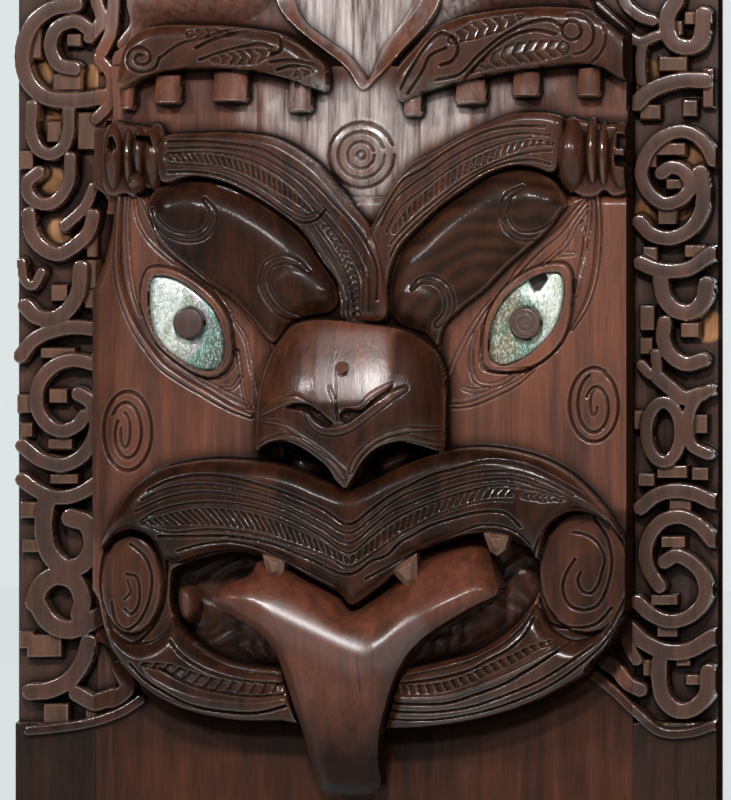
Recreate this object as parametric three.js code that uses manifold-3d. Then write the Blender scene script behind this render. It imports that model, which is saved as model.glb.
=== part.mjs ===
// A carved wooden wall panel with a great mask: three boards, an inlaid pair of eyes, a tongue and teeth.
// Lengths are in millimetres. +X is the viewer's right, +Z is up, the front faces -Y and the back lies on Y = 0.
// The carving is drawn flat as (x, z) with a height out from the back, and the whole group is then turned upright.
import * as THREE from "three";
import { mergeVertices } from "three/addons/utils/BufferGeometryUtils.js";
import Module from "manifold-3d";

// Boards
const PANEL_HEIGHT = 740;
const CENTRE_WIDTH = 460;
const SIDE_WIDTH = 70;
const FIT = 0.3;

// Heights of the carving out from the back
const CHEST_OUT = 44;
const SIDE_GROUND_OUT = 32;
const SIDE_BAND_OUT = 50;
const SPACER_OUT = 43;
const SIDE_FOOT_Z = -284;
const CHEEK_OUT = 84;
const FOREHEAD_OUT = 76;
const CROWN_OUT = 68;
const BROW_OUT = 106;
const MOUND_OUT = 101;
const RIM_OUT = 90;
const EAR_OUT = 104;
const FOOT_OUT = 106;
const TOE_OUT = 96;
const NOSE_OUT = 142;
const UPPER_LIP_OUT = 118;
const LOWER_LIP_OUT = 104;
const MOUTH_FLOOR_OUT = 58;
const TONGUE_OUT = 131;
const THIGH_OUT = 90;
const CORNER_PAD_OUT = 92;
const CHEST_RIDGE_OUT = 62;

// Eyes: the place of each peg, and the outline of its shell measured from there
const EYES = {
  left: {
    peg: [-139, 64.5],
    shell: [
      [-36, 32], [-33, 39], [-25, 40], [-11, 35], [4, 25], [17, 13], [24, -1],
      [28, -17], [27, -30], [22, -38], [10, -39], [-3, -34], [-19, -24], [-31, -10], [-36, 10],
    ],
  },
  right: {
    peg: [147, 64],
    shell: [
      [30, 34], [26, 42], [14, 42], [0, 36], [-14, 27], [-25, 13], [-31, -2],
      [-33, -18], [-31, -31], [-22, -35], [-10, -32], [5, -22], [16, -11], [25, 3], [30, 20],
    ],
  },
};
const EYE_FLOOR_OUT = 68;
const BEDDING_THICKNESS = 6;
const SHELL_THICKNESS = 6;
const PEG_RADIUS = 13.5;
const PEG_FOOT_OUT = 48;
const PEG_TOP_OUT = 96;

// Teeth: middle of each, with its width and height
const TEETH = {
  tooth_inner_left: { x: -64, z: -142, width: 20, height: 16 },
  tooth_inner_right: { x: 47, z: -147, width: 23, height: 18 },
  tooth_outer_right: { x: 125, z: -122, width: 23, height: 18 },
  tooth_corner_left: { x: -137, z: -176, width: 14, height: 26 },
};
const TOOTH_BACK_OUT = 84;
const TOOTH_FRONT_OUT = 112;
const TOOTH_ROOT = 8;
const CORNER_TOOTH_OUT = 90;
const CORNER_TENON_OUT = 46;

// A round plug on the bridge of the nose
const NOSE_PLUG_RADIUS = 5;
const NOSE_PLUG_PLACE = [0, 27];
const NOSE_PLUG_LENGTH = 22;

// Hollows of the nostrils
const NOSTRIL_PLACE = [37, -54];
const NOSTRIL_FLOOR_OUT = 66;
const NOSTRIL_TOP_OUT = 120;

// Fixings on the back
const BATTEN_LENGTH = 560;
const BATTEN_HEIGHT = 48;
const BATTEN_DEPTH = 18;
const BATTEN_Z = 230;
const SCREW_RADIUS = 2.5;
const SCREW_HEAD_RADIUS = 5;
const SCREW_LENGTH = 28;
const DOWEL_RADIUS = 5;
const DOWEL_LENGTH = 70;
const DOWEL_OUT = 25;

const HALF_HEIGHT = PANEL_HEIGHT / 2;
const HALF_CENTRE = CENTRE_WIDTH / 2 - FIT / 2;
const BATTEN_ROWS = { upper: BATTEN_Z, lower: -BATTEN_Z };
const DOWEL_ROWS = { upper: 310, middle: 0, lower: -310 };
const SCREW_COLUMNS = { left_a: -250, left_b: -120, middle_a: -40, middle_b: 40, right_a: 120, right_b: 250 };
const SCREW_RISE = 12;

// Finishes
const darkWood = new THREE.MeshStandardMaterial({ color: 0x4a2416, roughness: 0.35 });
const borderWood = new THREE.MeshStandardMaterial({ color: 0x452316, roughness: 0.4 });
const toothWood = new THREE.MeshStandardMaterial({ color: 0x8a5c40, roughness: 0.5 });
const shell = new THREE.MeshStandardMaterial({ color: 0xa9b8a4, roughness: 0.2, metalness: 0.2 });
const gum = new THREE.MeshStandardMaterial({ color: 0x1a1310, roughness: 0.8 });
const plainWood = new THREE.MeshStandardMaterial({ color: 0x8b6b4a, roughness: 0.8 });
const steel = new THREE.MeshStandardMaterial({ color: 0x8d8d8a, roughness: 0.4, metalness: 0.9 });

const wasm = await Module();
wasm.setup();

// A closed three.js geometry as a solid that can be joined and cut, its faces turned outwards.
function solid(geometry) {
  const bare = geometry.clone();
  bare.deleteAttribute("normal");
  bare.deleteAttribute("uv");
  const merged = mergeVertices(bare, 1e-3);
  const triVerts = new Uint32Array(merged.index.array);
  const vertProperties = merged.attributes.position.array;
  const made = new wasm.Manifold(new wasm.Mesh({ numProp: 3, vertProperties, triVerts }));
  if (made.volume() > 0) return made;
  const turned = triVerts.map((_, i) => triVerts[i + [0, 1, -1][i % 3]]);
  return new wasm.Manifold(new wasm.Mesh({ numProp: 3, vertProperties, triVerts: turned }));
}

function join(solids) {
  return solids.reduce((whole, one) => whole.add(one));
}

function cut(body, tools) {
  return tools.reduce((left, tool) => left.subtract(tool), body);
}

// A named mesh with flat facets.
function piece(name, body, material) {
  const { vertProperties, triVerts } = body.getMesh();
  const geometry = new THREE.BufferGeometry();
  geometry.setAttribute("position", new THREE.BufferAttribute(vertProperties, 3));
  geometry.setIndex(new THREE.BufferAttribute(triVerts, 1));
  const mesh = new THREE.Mesh(geometry, material);
  mesh.name = name;
  return mesh;
}

// A smooth closed outline through a few points.
function smooth(points, perSpan = 2) {
  const knots = points.map(([x, z]) => new THREE.Vector3(x, z, 0));
  const curve = new THREE.CatmullRomCurve3(knots, true, "centripetal");
  return curve.getPoints(points.length * perSpan).slice(1).map((p) => [p.x, p.y]);
}

// An outline given thickness between two heights. Its edges are rounded over: inset is how far in the rounding
// reaches, drop how far down, and steps the number of facets that it takes.
function plate(outline, back, front, { inset = 0, drop = inset, steps = 1 } = {}) {
  const shape = new THREE.Shape(outline.map(([x, z]) => new THREE.Vector2(x, z)));
  const geometry = new THREE.ExtrudeGeometry(shape, {
    depth: front - back - 2 * drop,
    bevelEnabled: inset > 0,
    bevelSize: inset,
    bevelThickness: drop,
    bevelOffset: -inset,
    bevelSegments: steps,
  });
  geometry.translate(0, 0, back + drop);
  return solid(geometry);
}

function block(x0, x1, z0, z1, back, front) {
  const geometry = new THREE.BoxGeometry(x1 - x0, z1 - z0, front - back);
  geometry.translate((x0 + x1) / 2, (z0 + z1) / 2, (back + front) / 2);
  return solid(geometry);
}

// A half-buried ellipsoid.
function mound(x, z, halfWidth, halfHeight, back, front, turn = 0) {
  const geometry = new THREE.SphereGeometry(1, 12, 8);
  geometry.scale(halfWidth, halfHeight, front - back);
  geometry.rotateZ(turn);
  geometry.translate(x, z, back);
  return solid(geometry);
}

function rod(x, z, radius, back, front, sides = 24) {
  const geometry = new THREE.CylinderGeometry(radius, radius, front - back, sides);
  geometry.rotateX(Math.PI / 2);
  geometry.translate(x, z, (back + front) / 2);
  return solid(geometry);
}

// Cross-sections of a carved band, as (half-width, height) fractions: flat on top, sloped to one side, and rounded.
const BAND_SECTION = [[-1, 0], [-0.75, 1], [0.75, 1], [1, 0]];
const SLOPED_SECTION = [[-1, 0], [-1, 1], [1, 0.75], [1, 0]];
const ROUND_SECTION = [[-1, 0], [-0.95, 0.5], [-0.5, 0.95], [0.5, 0.95], [0.95, 0.5], [1, 0]];

// A section carried along a smooth open curve; widths run along it from the first to the last.
function band(path, widths, back, front, { section = BAND_SECTION, perSpan = 2 } = {}) {
  const knots = path.map(([x, z]) => new THREE.Vector3(x, z, 0));
  const curve = new THREE.CatmullRomCurve3(knots, false, "centripetal");
  const steps = (path.length - 1) * perSpan;
  const positions = [];
  for (let i = 0; i <= steps; i++) {
    const t = i / steps;
    const at = curve.getPoint(t);
    const along = curve.getTangent(t);
    const place = t * (widths.length - 1);
    const low = Math.min(Math.floor(place), widths.length - 2);
    const half = THREE.MathUtils.lerp(widths[low], widths[low + 1], place - low) / 2;
    for (const [u, v] of section) {
      positions.push(at.x - along.y * u * half, at.y + along.x * u * half, back + (front - back) * v);
    }
  }
  const sides = section.length;
  const index = [];
  for (let i = 0; i < steps; i++) {
    for (let k = 0; k < sides; k++) {
      const a = i * sides + k;
      const b = i * sides + ((k + 1) % sides);
      index.push(a, b, a + sides, b, b + sides, a + sides);
    }
  }
  const last = steps * sides;
  for (let k = 1; k < sides - 1; k++) {
    index.push(0, k + 1, k, last, last + k, last + k + 1);
  }
  const geometry = new THREE.BufferGeometry();
  geometry.setAttribute("position", new THREE.Float32BufferAttribute(positions, 3));
  geometry.setIndex(index);
  return solid(geometry);
}

// Points on a spiral that shrinks evenly from its outer to its inner radius; angles are in turns from +X.
function spiral(x, z, outer, inner, from, turns, stretch = 1) {
  const count = Math.round(Math.abs(turns) * 12);
  return Array.from({ length: count + 1 }, (_, i) => {
    const angle = (from + (turns * i) / count) * 2 * Math.PI;
    const radius = outer + ((inner - outer) * i) / count;
    return [x + radius * Math.cos(angle), z + radius * stretch * Math.sin(angle)];
  });
}

const PLAIN_STEP = { perSpan: 1 };

// Outlines of the mask, as (x, z)
const HEAD = [
  [-HALF_CENTRE, 172], [-HALF_CENTRE, -150], [-222, -172], [-212, -205], [-178, -244], [-125, -266], [-44, -272],
  [26, -275], [105, -266], [177, -238], [219, -200], [HALF_CENTRE, -172], [HALF_CENTRE, 172],
];
const MOUTH = [
  [-150, -137], [-104, -121], [-61, -129], [0, -162], [34, -141], [66, -118], [108, -106], [143, -114], [157, -140],
  [151, -169], [120, -200], [77, -217], [0, -232], [-56, -225], [-103, -220], [-137, -202], [-156, -172],
];
const UPPER_LIP = [
  [-206, -113], [-199, -91], [-183, -72], [-161, -58], [-138, -52], [-90, -50], [-62, -53], [-24, -65], [2, -70],
  [32, -60], [57, -49], [83, -41], [109, -39], [138, -42], [164, -50], [183, -59], [200, -73], [213, -92],
  [180, -100], [158, -128], [135, -114], [109, -111], [83, -116], [48, -133], [19, -160], [2, -172], [-36, -147],
  [-59, -134], [-79, -128], [-102, -125], [-124, -128], [-157, -134], [-180, -114],
];
const LOWER_LIPS = {
  left: [
    [-207, -194], [-180, -203], [-150, -190], [-122, -213], [-82, -223], [-54, -226], [-38, -270], [-91, -269],
    [-130, -264], [-170, -246], [-198, -220],
  ],
  right: [
    [36, -227], [77, -217], [118, -201], [152, -171], [166, -188], [188, -200], [222, -184], [205, -220],
    [179, -237], [146, -254], [107, -265], [62, -273], [29, -275],
  ],
};
const NOSE = [
  [0, 68], [40, 62], [62, 50], [75, 24], [80, -6], [80, -43], [60, -38], [38, -37], [18, -52], [0, -78],
  [-18, -52], [-38, -37], [-60, -36], [-80, -43], [-79, -10], [-74, 24], [-62, 48], [-40, 65],
];

// Brows from the temple down to the nose, with a width at each place
const BROWS = {
  left: {
    path: [[-166, 200], [-130, 205], [-105, 204], [-76, 196], [-52, 182], [-33, 167], [-17, 146], [-3, 127], [6, 112],
      [10, 92], [11, 64]],
    widths: [36, 39, 42, 46, 46, 47, 48, 48, 44, 39, 36],
  },
  right: {
    path: [[184, 211], [150, 217], [128, 212], [105, 204], [83, 190], [65, 179], [48, 165], [37, 149], [30, 132],
      [24, 114], [21, 90], [20, 64]],
    widths: [46, 45, 42, 40, 41, 42, 40, 33, 29, 26, 22, 18],
  },
};

// The swellings between brow and eye, with a crescent near each end
const MOUNDS = {
  left: [
    [-174, 164], [-152, 184], [-120, 183], [-88, 171], [-52, 147], [-20, 108], [-14, 74], [-67, 50], [-104, 86],
    [-144, 114], [-170, 138],
  ],
  right: [
    [34, 72], [32, 106], [55, 141], [94, 173], [132, 192], [164, 187], [179, 165], [169, 143], [133, 111], [94, 76],
    [72, 48],
  ],
};
const CRESCENTS = {
  left: [
    [[-124, 168], [-117, 155], [-126, 138], [-142, 136], [-158, 141], [-169, 156]],
    [[-35, 107], [-50, 118], [-68, 114], [-74, 99], [-66, 82], [-50, 70]],
  ],
  right: [
    [[145, 176], [131, 163], [133, 144], [148, 136], [166, 141], [180, 159]],
    [[53, 92], [66, 100], [80, 93], [84, 80], [73, 62]],
  ],
};
const CRESCENT_WIDTHS = [4, 9, 10, 10, 9, 4];

// Round the eyes: the outer rim, the ridge under the swelling, and the lid
const EYE_RIMS = {
  left: [[-201, 172], [-202, 135], [-200, 97], [-185, 58], [-163, 29], [-125, 5], [-87, -13]],
  right: [[206, 171], [207, 127], [199, 85], [184, 59], [152, 25], [121, 6], [83, -5]],
};
const EYE_RIDGES = {
  left: [[-182, 171], [-164, 136], [-139, 111], [-105, 74], [-93, 53], [-84, 9]],
  right: [[196, 167], [173, 140], [142, 110], [115, 81], [99, 59], [83, 26], [77, 8]],
};
const RIM_WIDTHS = [5, 8, 8, 8, 5];
const LIDS = {
  left: [
    [-180, 104], [-166, 113], [-135, 101], [-119, 87], [-106, 68], [-103, 42], [-111, 23], [-134, 21], [-155, 34],
    [-176, 60], [-183, 84],
  ],
  right: [
    [124, 90], [144, 106], [171, 114], [185, 103], [185, 80], [174, 47], [155, 29], [132, 22], [111, 27], [109, 46],
    [113, 72],
  ],
};

// Ear lobes at the temples: x, z, half-width, half-height
const EARS = [
  [-204, 203, 8, 29], [-191, 201, 6, 27], [-179, 208, 7, 20], [-167, 203, 9, 28],
  [183, 204, 14, 30], [203, 203, 6, 29], [213, 202, 6, 27], [224, 200, 10, 29],
];

// Flat spirals: middle, radius, turns and stretch upwards
const CHEEK_SPIRALS = [[-197, -27, 21, -1.8, 1.5], [203, -4, 21, 1.8, 1.5]];
const CORNER_SPIRALS = [[-188, -155, 26, -1.9, 1.62], [198, -142, 41, 1.9, 1.26]];
const FOREHEAD_SPIRAL = [8, 203, 27, -2.1, 1];
const SPIRAL_WIDTHS = [6, 6];

// Notched rows on the upper lip
const LIP_ROWS = [
  [[-174, -103], [-125, -97], [-95, -98], [-44, -112], [-6, -130]],
  [[4, -131], [43, -106], [70, -92], [97, -82], [139, -76]],
];

// One arm of the tongue's Y each, from its lobe in the mouth down to the tongue's tip
const TONGUE_ARMS = {
  left: {
    path: [[-118, -166], [-92, -168], [-62, -182], [-30, -208], [-10, -250], [-2, -338]],
    widths: [8, 32, 46, 66, 70, 46],
  },
  right: {
    path: [[124, -142], [98, -146], [62, -166], [30, -200], [4, -250], [-2, -338]],
    widths: [24, 50, 54, 54, 56, 46],
  },
};

// The outline of a shell, wider by a margin all round.
function eyeOutline({ peg: [pegX, pegZ], shell }, margin) {
  return smooth(shell).map(([x, z]) => {
    const grown = 1 + margin / Math.hypot(x, z);
    return [pegX + x * grown, pegZ + z * grown];
  });
}

// Feet of the upper figure: arched bands over the forehead, each with four toes under it.
const FEET = [
  {
    path: [[-196, 276], [-175, 291], [-150, 296], [-120, 295], [-90, 292], [-60, 286], [-38, 276], [-24, 268]],
    widths: [20, 37, 38, 37, 36, 34, 28, 18],
  },
  {
    path: [[44, 262], [60, 278], [82, 290], [110, 295], [145, 300], [175, 302], [203, 299], [232, 286]],
    widths: [20, 38, 48, 52, 52, 48, 46, 42],
  },
];
const TOES = [
  [-191, 256, 11], [-157, 260, 22], [-103, 262, 30], [-44, 254, 20],
  [52, 249, 14], [101, 257, 25], [147, 262, 23], [200, 263, 19],
];
const TOE_DROP = 13;

// Thighs of the upper figure, and the V between them from the left thigh down to its point and up again
const THIGHS = [
  [[-270, 290], [-200, 310], [-150, 322], [-105, 322], [-72, 328], [-60, 348], [-58, 420], [-270, 420]],
  [[68, 348], [80, 334], [115, 331], [150, 337], [190, 331], [270, 300], [270, 420], [62, 420]],
];
const CROWN_V = [
  [-66, 380], [-60, 334], [-45, 313], [-25, 296], [-5, 282], [9, 264], [22, 282], [41, 304], [56, 324], [62, 345],
  [64, 380],
];
const CROWN_Z = 264;
const CHEST_RIDGE = [[-34, -346], [16, -346], [12, -380], [-30, -380]];

// A flat spiral as a raised band.
function scroll([x, z, radius, turns, stretch], back, front) {
  const path = spiral(x, z, radius, radius / 5, 0.25, turns, stretch);
  return band(path, SPIRAL_WIDTHS, back, front, PLAIN_STEP);
}

// Everything that stands up from the head on one side.
function faceRelief(side) {
  const { path, widths } = BROWS[side];
  const rim = (line) => band(line, RIM_WIDTHS, 60, RIM_OUT);
  return [
    band(path, widths, 60, BROW_OUT, { section: ROUND_SECTION, perSpan: 1 }),
    plate(MOUNDS[side], 60, MOUND_OUT, { inset: 14, drop: 14, steps: 2 }),
    ...CRESCENTS[side].map((line) => band(line, CRESCENT_WIDTHS, 80, MOUND_OUT + 2)),
    rim(EYE_RIMS[side]),
    rim(EYE_RIDGES[side]),
    plate(LIDS[side], 60, RIM_OUT - 2, { inset: 2 }),
  ];
}

function ears() {
  return EARS.map(([x, z, halfWidth, halfHeight]) => mound(x, z, halfWidth, halfHeight, 80, EAR_OUT));
}

function cornerPad([x, z, radius, , stretch]) {
  const ring = spiral(x, z, radius, radius, 0, 1, stretch).slice(1);
  return plate(ring, 60, CORNER_PAD_OUT, { inset: 4 });
}

function scrolls() {
  return [
    ...CHEEK_SPIRALS.map((one) => scroll(one, 70, CHEEK_OUT + 2)),
    ...CORNER_SPIRALS.map(cornerPad),
    ...CORNER_SPIRALS.map(([x, z, radius, ...rest]) => scroll([x, z, radius - 6, ...rest], 70, CORNER_PAD_OUT + 2)),
    scroll(FOREHEAD_SPIRAL, 60, FOREHEAD_OUT + 3),
  ];
}

function nose() {
  return plate(NOSE, 60, NOSE_OUT + 10).intersect(mound(0, -4, 104, 96, 58, NOSE_OUT));
}

// Each nostril is hollowed out under the arch of its wing.
function nostril(side) {
  const [x, z] = NOSTRIL_PLACE;
  return mound(side * x, z, 27, 13, NOSTRIL_TOP_OUT, NOSTRIL_FLOOR_OUT, -0.4 * side);
}

function feet() {
  const arches = FEET.map(({ path, widths }) => band(path, widths, 60, FOOT_OUT, { section: ROUND_SECTION }));
  const toes = TOES.map(([x, z, width]) =>
    block(x - width / 2, x + width / 2, z - TOE_DROP, z + TOE_DROP, CROWN_OUT - 8, TOE_OUT),
  );
  return [...arches, ...toes];
}

function crown() {
  const flesh = block(-HALF_CENTRE, HALF_CENTRE, CROWN_Z, HALF_HEIGHT, 30, CROWN_OUT);
  const thighs = THIGHS.map((outline) => plate(outline, 20, THIGH_OUT, { inset: 24, drop: 20, steps: 3 }));
  const point = band(CROWN_V, [14, 14], 40, CROWN_OUT + 12, { section: SLOPED_SECTION, perSpan: 1 });
  return [flesh, ...thighs, point];
}

function battenSlot(z, grow) {
  const halfLength = BATTEN_LENGTH / 2 + grow;
  const halfHeight = BATTEN_HEIGHT / 2 + grow;
  return block(-halfLength, halfLength, z - halfHeight, z + halfHeight, grow ? -1 : 0, BATTEN_DEPTH + grow);
}

// One countersunk screw, driven from the back.
function screwSolid(x, z, grow) {
  const profile = [
    [0, -grow * 4], [SCREW_HEAD_RADIUS + grow, -grow * 4], [SCREW_HEAD_RADIUS + grow, 1], [SCREW_RADIUS + grow, 4],
    [SCREW_RADIUS + grow, SCREW_LENGTH - 4 + grow], [0, SCREW_LENGTH + grow * 2],
  ];
  const geometry = new THREE.LatheGeometry(profile.map(([r, h]) => new THREE.Vector2(r, h)), 10);
  geometry.rotateX(Math.PI / 2);
  geometry.translate(x, z, 0);
  return solid(geometry);
}

function screwPlaces() {
  const places = [];
  for (const [row, z] of Object.entries(BATTEN_ROWS)) {
    Object.entries(SCREW_COLUMNS).forEach(([column, x], i) => {
      places.push({ name: `${row}_screw_${column}`, x, z: z + (i % 2 ? SCREW_RISE : -SCREW_RISE) });
    });
  }
  return places;
}

function dowelSolid(side, z, grow) {
  const geometry = new THREE.CylinderGeometry(DOWEL_RADIUS + grow, DOWEL_RADIUS + grow, DOWEL_LENGTH + 2 * grow, 12);
  geometry.rotateZ(Math.PI / 2);
  geometry.translate((side * CENTRE_WIDTH) / 2, z, DOWEL_OUT);
  return solid(geometry);
}

// Slots, screw holes and dowel holes that every board shares.
function fixingCuts(sides) {
  return [
    ...Object.values(BATTEN_ROWS).map((z) => battenSlot(z, FIT)),
    ...screwPlaces().map(({ x, z }) => screwSolid(x, z, FIT)),
    ...sides.flatMap((side) => Object.values(DOWEL_ROWS).map((z) => dowelSolid(side, z, FIT))),
  ];
}

// A hanging tooth: a blunt wedge whose root is let into the lip above it.
function toothSolid({ x, z, width, height }, grow) {
  const half = width / 2 + grow;
  const top = z + height / 2 + TOOTH_ROOT + grow;
  const tip = z - height / 2 - grow;
  const outline = [[x - half, top], [x - half, z], [x - half / 2, tip], [x + half / 2, tip], [x + half, z], [x + half, top]];
  return plate(outline, TOOTH_BACK_OUT - grow, TOOTH_FRONT_OUT + grow);
}

// The corner tooth is a rounded lobe on a round tenon in the floor of the mouth.
function cornerToothSolid({ x, z, width, height }, grow) {
  const lobe = mound(x, z, width / 2 + grow, height / 2 + grow, MOUTH_FLOOR_OUT + 4 * FIT, CORNER_TOOTH_OUT + grow);
  const front = block(x - width, x + width, z - height, z + height, MOUTH_FLOOR_OUT + FIT, CORNER_TOOTH_OUT + 1);
  return lobe.intersect(front).add(rod(x, z, width / 3 + grow, CORNER_TENON_OUT - grow, MOUTH_FLOOR_OUT + 8, 12));
}

function anyTooth(name, grow) {
  return name === "tooth_corner_left" ? cornerToothSolid(TEETH[name], grow) : toothSolid(TEETH[name], grow);
}

// The upper lip, grown down and forwards by a gap where it is used to clear the tongue.
function upperLip(gap = 0) {
  const outline = UPPER_LIP.map(([x, z]) => [x, z - gap]);
  return plate(outline, MOUTH_FLOOR_OUT - 10, UPPER_LIP_OUT + gap, { inset: 9, drop: 14, steps: 3 });
}

// The side view of the tongue, as (z, out): its front comes forward over the chin and tapers to the tip, and its
// underside hangs clear of the chest.
const TONGUE_FRONT = [
  [-112, 84], [-140, 92], [-158, 104], [-172, 120], [-196, TONGUE_OUT], [-240, 126], [-292, 112], [-332, 98],
];
const TONGUE_UNDERSIDE = [[-332, 78], [-282, 86], [-240, 86], [-232, MOUTH_FLOOR_OUT], [-112, MOUTH_FLOOR_OUT]];

function tongueBody(grow) {
  const arms = Object.values(TONGUE_ARMS).map(({ path, widths }) => {
    const grown = widths.map((width) => width + 2 * grow);
    return band(path, grown, 34, TONGUE_OUT + 8 + grow, { section: ROUND_SECTION, perSpan: 3 });
  });
  const side = [
    ...TONGUE_FRONT.map(([z, out]) => new THREE.Vector2(z, out + grow)),
    ...TONGUE_UNDERSIDE.map(([z, out]) => new THREE.Vector2(z, out + 2 * FIT - grow)),
  ];
  const geometry = new THREE.ExtrudeGeometry(new THREE.Shape(side), { depth: CENTRE_WIDTH, bevelEnabled: false });
  // The side view is drawn as (z, out) and carried across the panel.
  const across = new THREE.Matrix4().set(0, 0, 1, -CENTRE_WIDTH / 2, 1, 0, 0, 0, 0, 1, 0, 0, 0, 0, 0, 1);
  geometry.applyMatrix4(across);
  return join(arms).intersect(solid(geometry));
}

function tenon(grow) {
  return block(-20 - grow, 20 + grow, -208 - grow, -184 + grow, 30 - grow, 80);
}

// The tongue stops short of the lip above it and of the teeth that hang before it.
function tongue() {
  const teeth = Object.keys(TEETH).map((name) => anyTooth(name, FIT));
  return cut(tongueBody(0).add(tenon(0)), [upperLip(2 * FIT), ...teeth]);
}

// The board with the face on it. The tongue's bed is cleared before the upper lip is laid over it.
function centreSlab() {
  const board = block(-HALF_CENTRE, HALF_CENTRE, -HALF_HEIGHT, HALF_HEIGHT, 0, CHEST_OUT);
  const head = plate(HEAD, 20, CHEEK_OUT, { inset: 9 });
  const forehead = block(-HALF_CENTRE, HALF_CENTRE, 150, CROWN_Z + 6, 20, FOREHEAD_OUT);
  const blank = cut(join([board, head, forehead, ...crown()]), [plate(smooth(MOUTH), MOUTH_FLOOR_OUT, 200)]);
  const snout = cut(blank.add(nose()), [nostril(-1), nostril(1)]);
  const lowerLips = Object.values(LOWER_LIPS).map((outline) =>
    plate(outline, MOUTH_FLOOR_OUT - 10, LOWER_LIP_OUT, { inset: 9, drop: 12, steps: 2 }),
  );
  const chestRidge = plate(CHEST_RIDGE, 30, CHEST_RIDGE_OUT);
  const relief = [...faceRelief("left"), ...faceRelief("right"), ...ears(), ...scrolls(), ...feet(), chestRidge];
  const bedded = cut(join([snout, ...relief, ...lowerLips]), [tongueBody(FIT)]);
  const rows = LIP_ROWS.map((path) => band(path, [6, 12, 6], 100, UPPER_LIP_OUT + 1.5));
  const envelope = block(-HALF_CENTRE, HALF_CENTRE, -HALF_HEIGHT, HALF_HEIGHT, 0, 200);
  const eyeCuts = Object.values(EYES).flatMap((eye) => [
    plate(eyeOutline(eye, FIT), EYE_FLOOR_OUT, 200),
    rod(...eye.peg, PEG_RADIUS + FIT, PEG_FOOT_OUT - FIT, 200),
  ]);
  return cut(join([bedded, upperLip(), ...rows]).intersect(envelope), [
    ...eyeCuts,
    tenon(FIT),
    rod(...NOSE_PLUG_PLACE, NOSE_PLUG_RADIUS + FIT, NOSE_OUT - NOSE_PLUG_LENGTH - FIT, 200, 16),
    ...Object.keys(TEETH).map((name) => anyTooth(name, FIT)),
    ...fixingCuts([-1, 1]),
  ]);
}

// Eyes: a bed of dark gum, a shell plate with a turned-down edge, and a peg through both into the wood.
function eyePeg({ peg: [x, z] }) {
  const profile = [
    [0, PEG_FOOT_OUT], [PEG_RADIUS, PEG_FOOT_OUT], [PEG_RADIUS, PEG_TOP_OUT - 3], [PEG_RADIUS - 4, PEG_TOP_OUT],
    [0, PEG_TOP_OUT],
  ];
  const geometry = new THREE.LatheGeometry(profile.map(([r, out]) => new THREE.Vector2(r, out)), 24);
  geometry.rotateX(Math.PI / 2);
  geometry.translate(x, z, 0);
  return solid(geometry);
}

function eyeLayer(eye, back, thickness, inset) {
  const layer = plate(eyeOutline(eye, 0), back, back + thickness, { inset });
  return layer.subtract(rod(...eye.peg, PEG_RADIUS + FIT, 0, 200));
}

// The borders: every stroke runs over the ground of the side board. Places are (distance from the seam, z).
const LEFT_STROKES = [
  { path: [[-10, 258], [17, 255], [43, 257], [59, 272], [63, 296], [55, 319], [38, 332], [17, 336]], width: 12 },
  { path: [[4, 314], [17, 322], [33, 316], [38, 301], [31, 285], [18, 282]], width: 10 },
  { path: [[55, 250], [55, 227], [49, 213], [38, 209], [27, 216], [23, 229], [23, 245]], width: 9 },
  { path: [[21, 205], [23, 185], [33, 170], [45, 166], [57, 173], [59, 185], [49, 194]], width: 9 },
  { path: [[58, 158], [55, 141], [45, 128], [31, 124], [17, 132], [5, 142], [1, 156]], width: 11 },
  { path: [[1, 180], [9, 164], [26, 148]], width: 8 },
  { path: [[64, 117], [61, 102], [54, 97], [46, 109]], width: 6 },
  { path: [[60, 80], [52, 71], [38, 69], [25, 76], [15, 90], [12, 112]], width: 12 },
  { path: [[65, 37], [53, 51], [37, 59], [17, 62], [-4, 59]], width: 11 },
  { path: [[-4, 29], [18, 34], [37, 28], [49, 13], [50, -7], [41, -21], [28, -26], [15, -21], [9, -14]], width: 10 },
  { path: [[14, 5], [4, -2], [-2, -17], [2, -35], [12, -48], [28, -55], [47, -51], [63, -39]], width: 11 },
  { path: [[63, -68], [52, -76], [37, -82], [23, -82], [9, -77], [-2, -70]], width: 11 },
  { path: [[42, -85], [45, -106], [40, -129], [26, -143], [11, -139], [2, -123], [7, -105], [21, -100]], width: 15 },
  { path: [[52, -172], [47, -158], [33, -149], [18, -154], [11, -170], [13, -182]], width: 15 },
  { path: [[49, -175], [40, -189], [24, -195], [7, -190], [-5, -183]], width: 15 },
  { path: [[56, -248], [38, -246], [21, -237], [10, -221], [5, -206]], width: 13 },
  { path: [[16, -249], [-1, -257], [-16, -251]], width: 12 },
  { path: [[59, -279], [38, -286], [12, -282], [-9, -275]], width: 8 },
];
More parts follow.
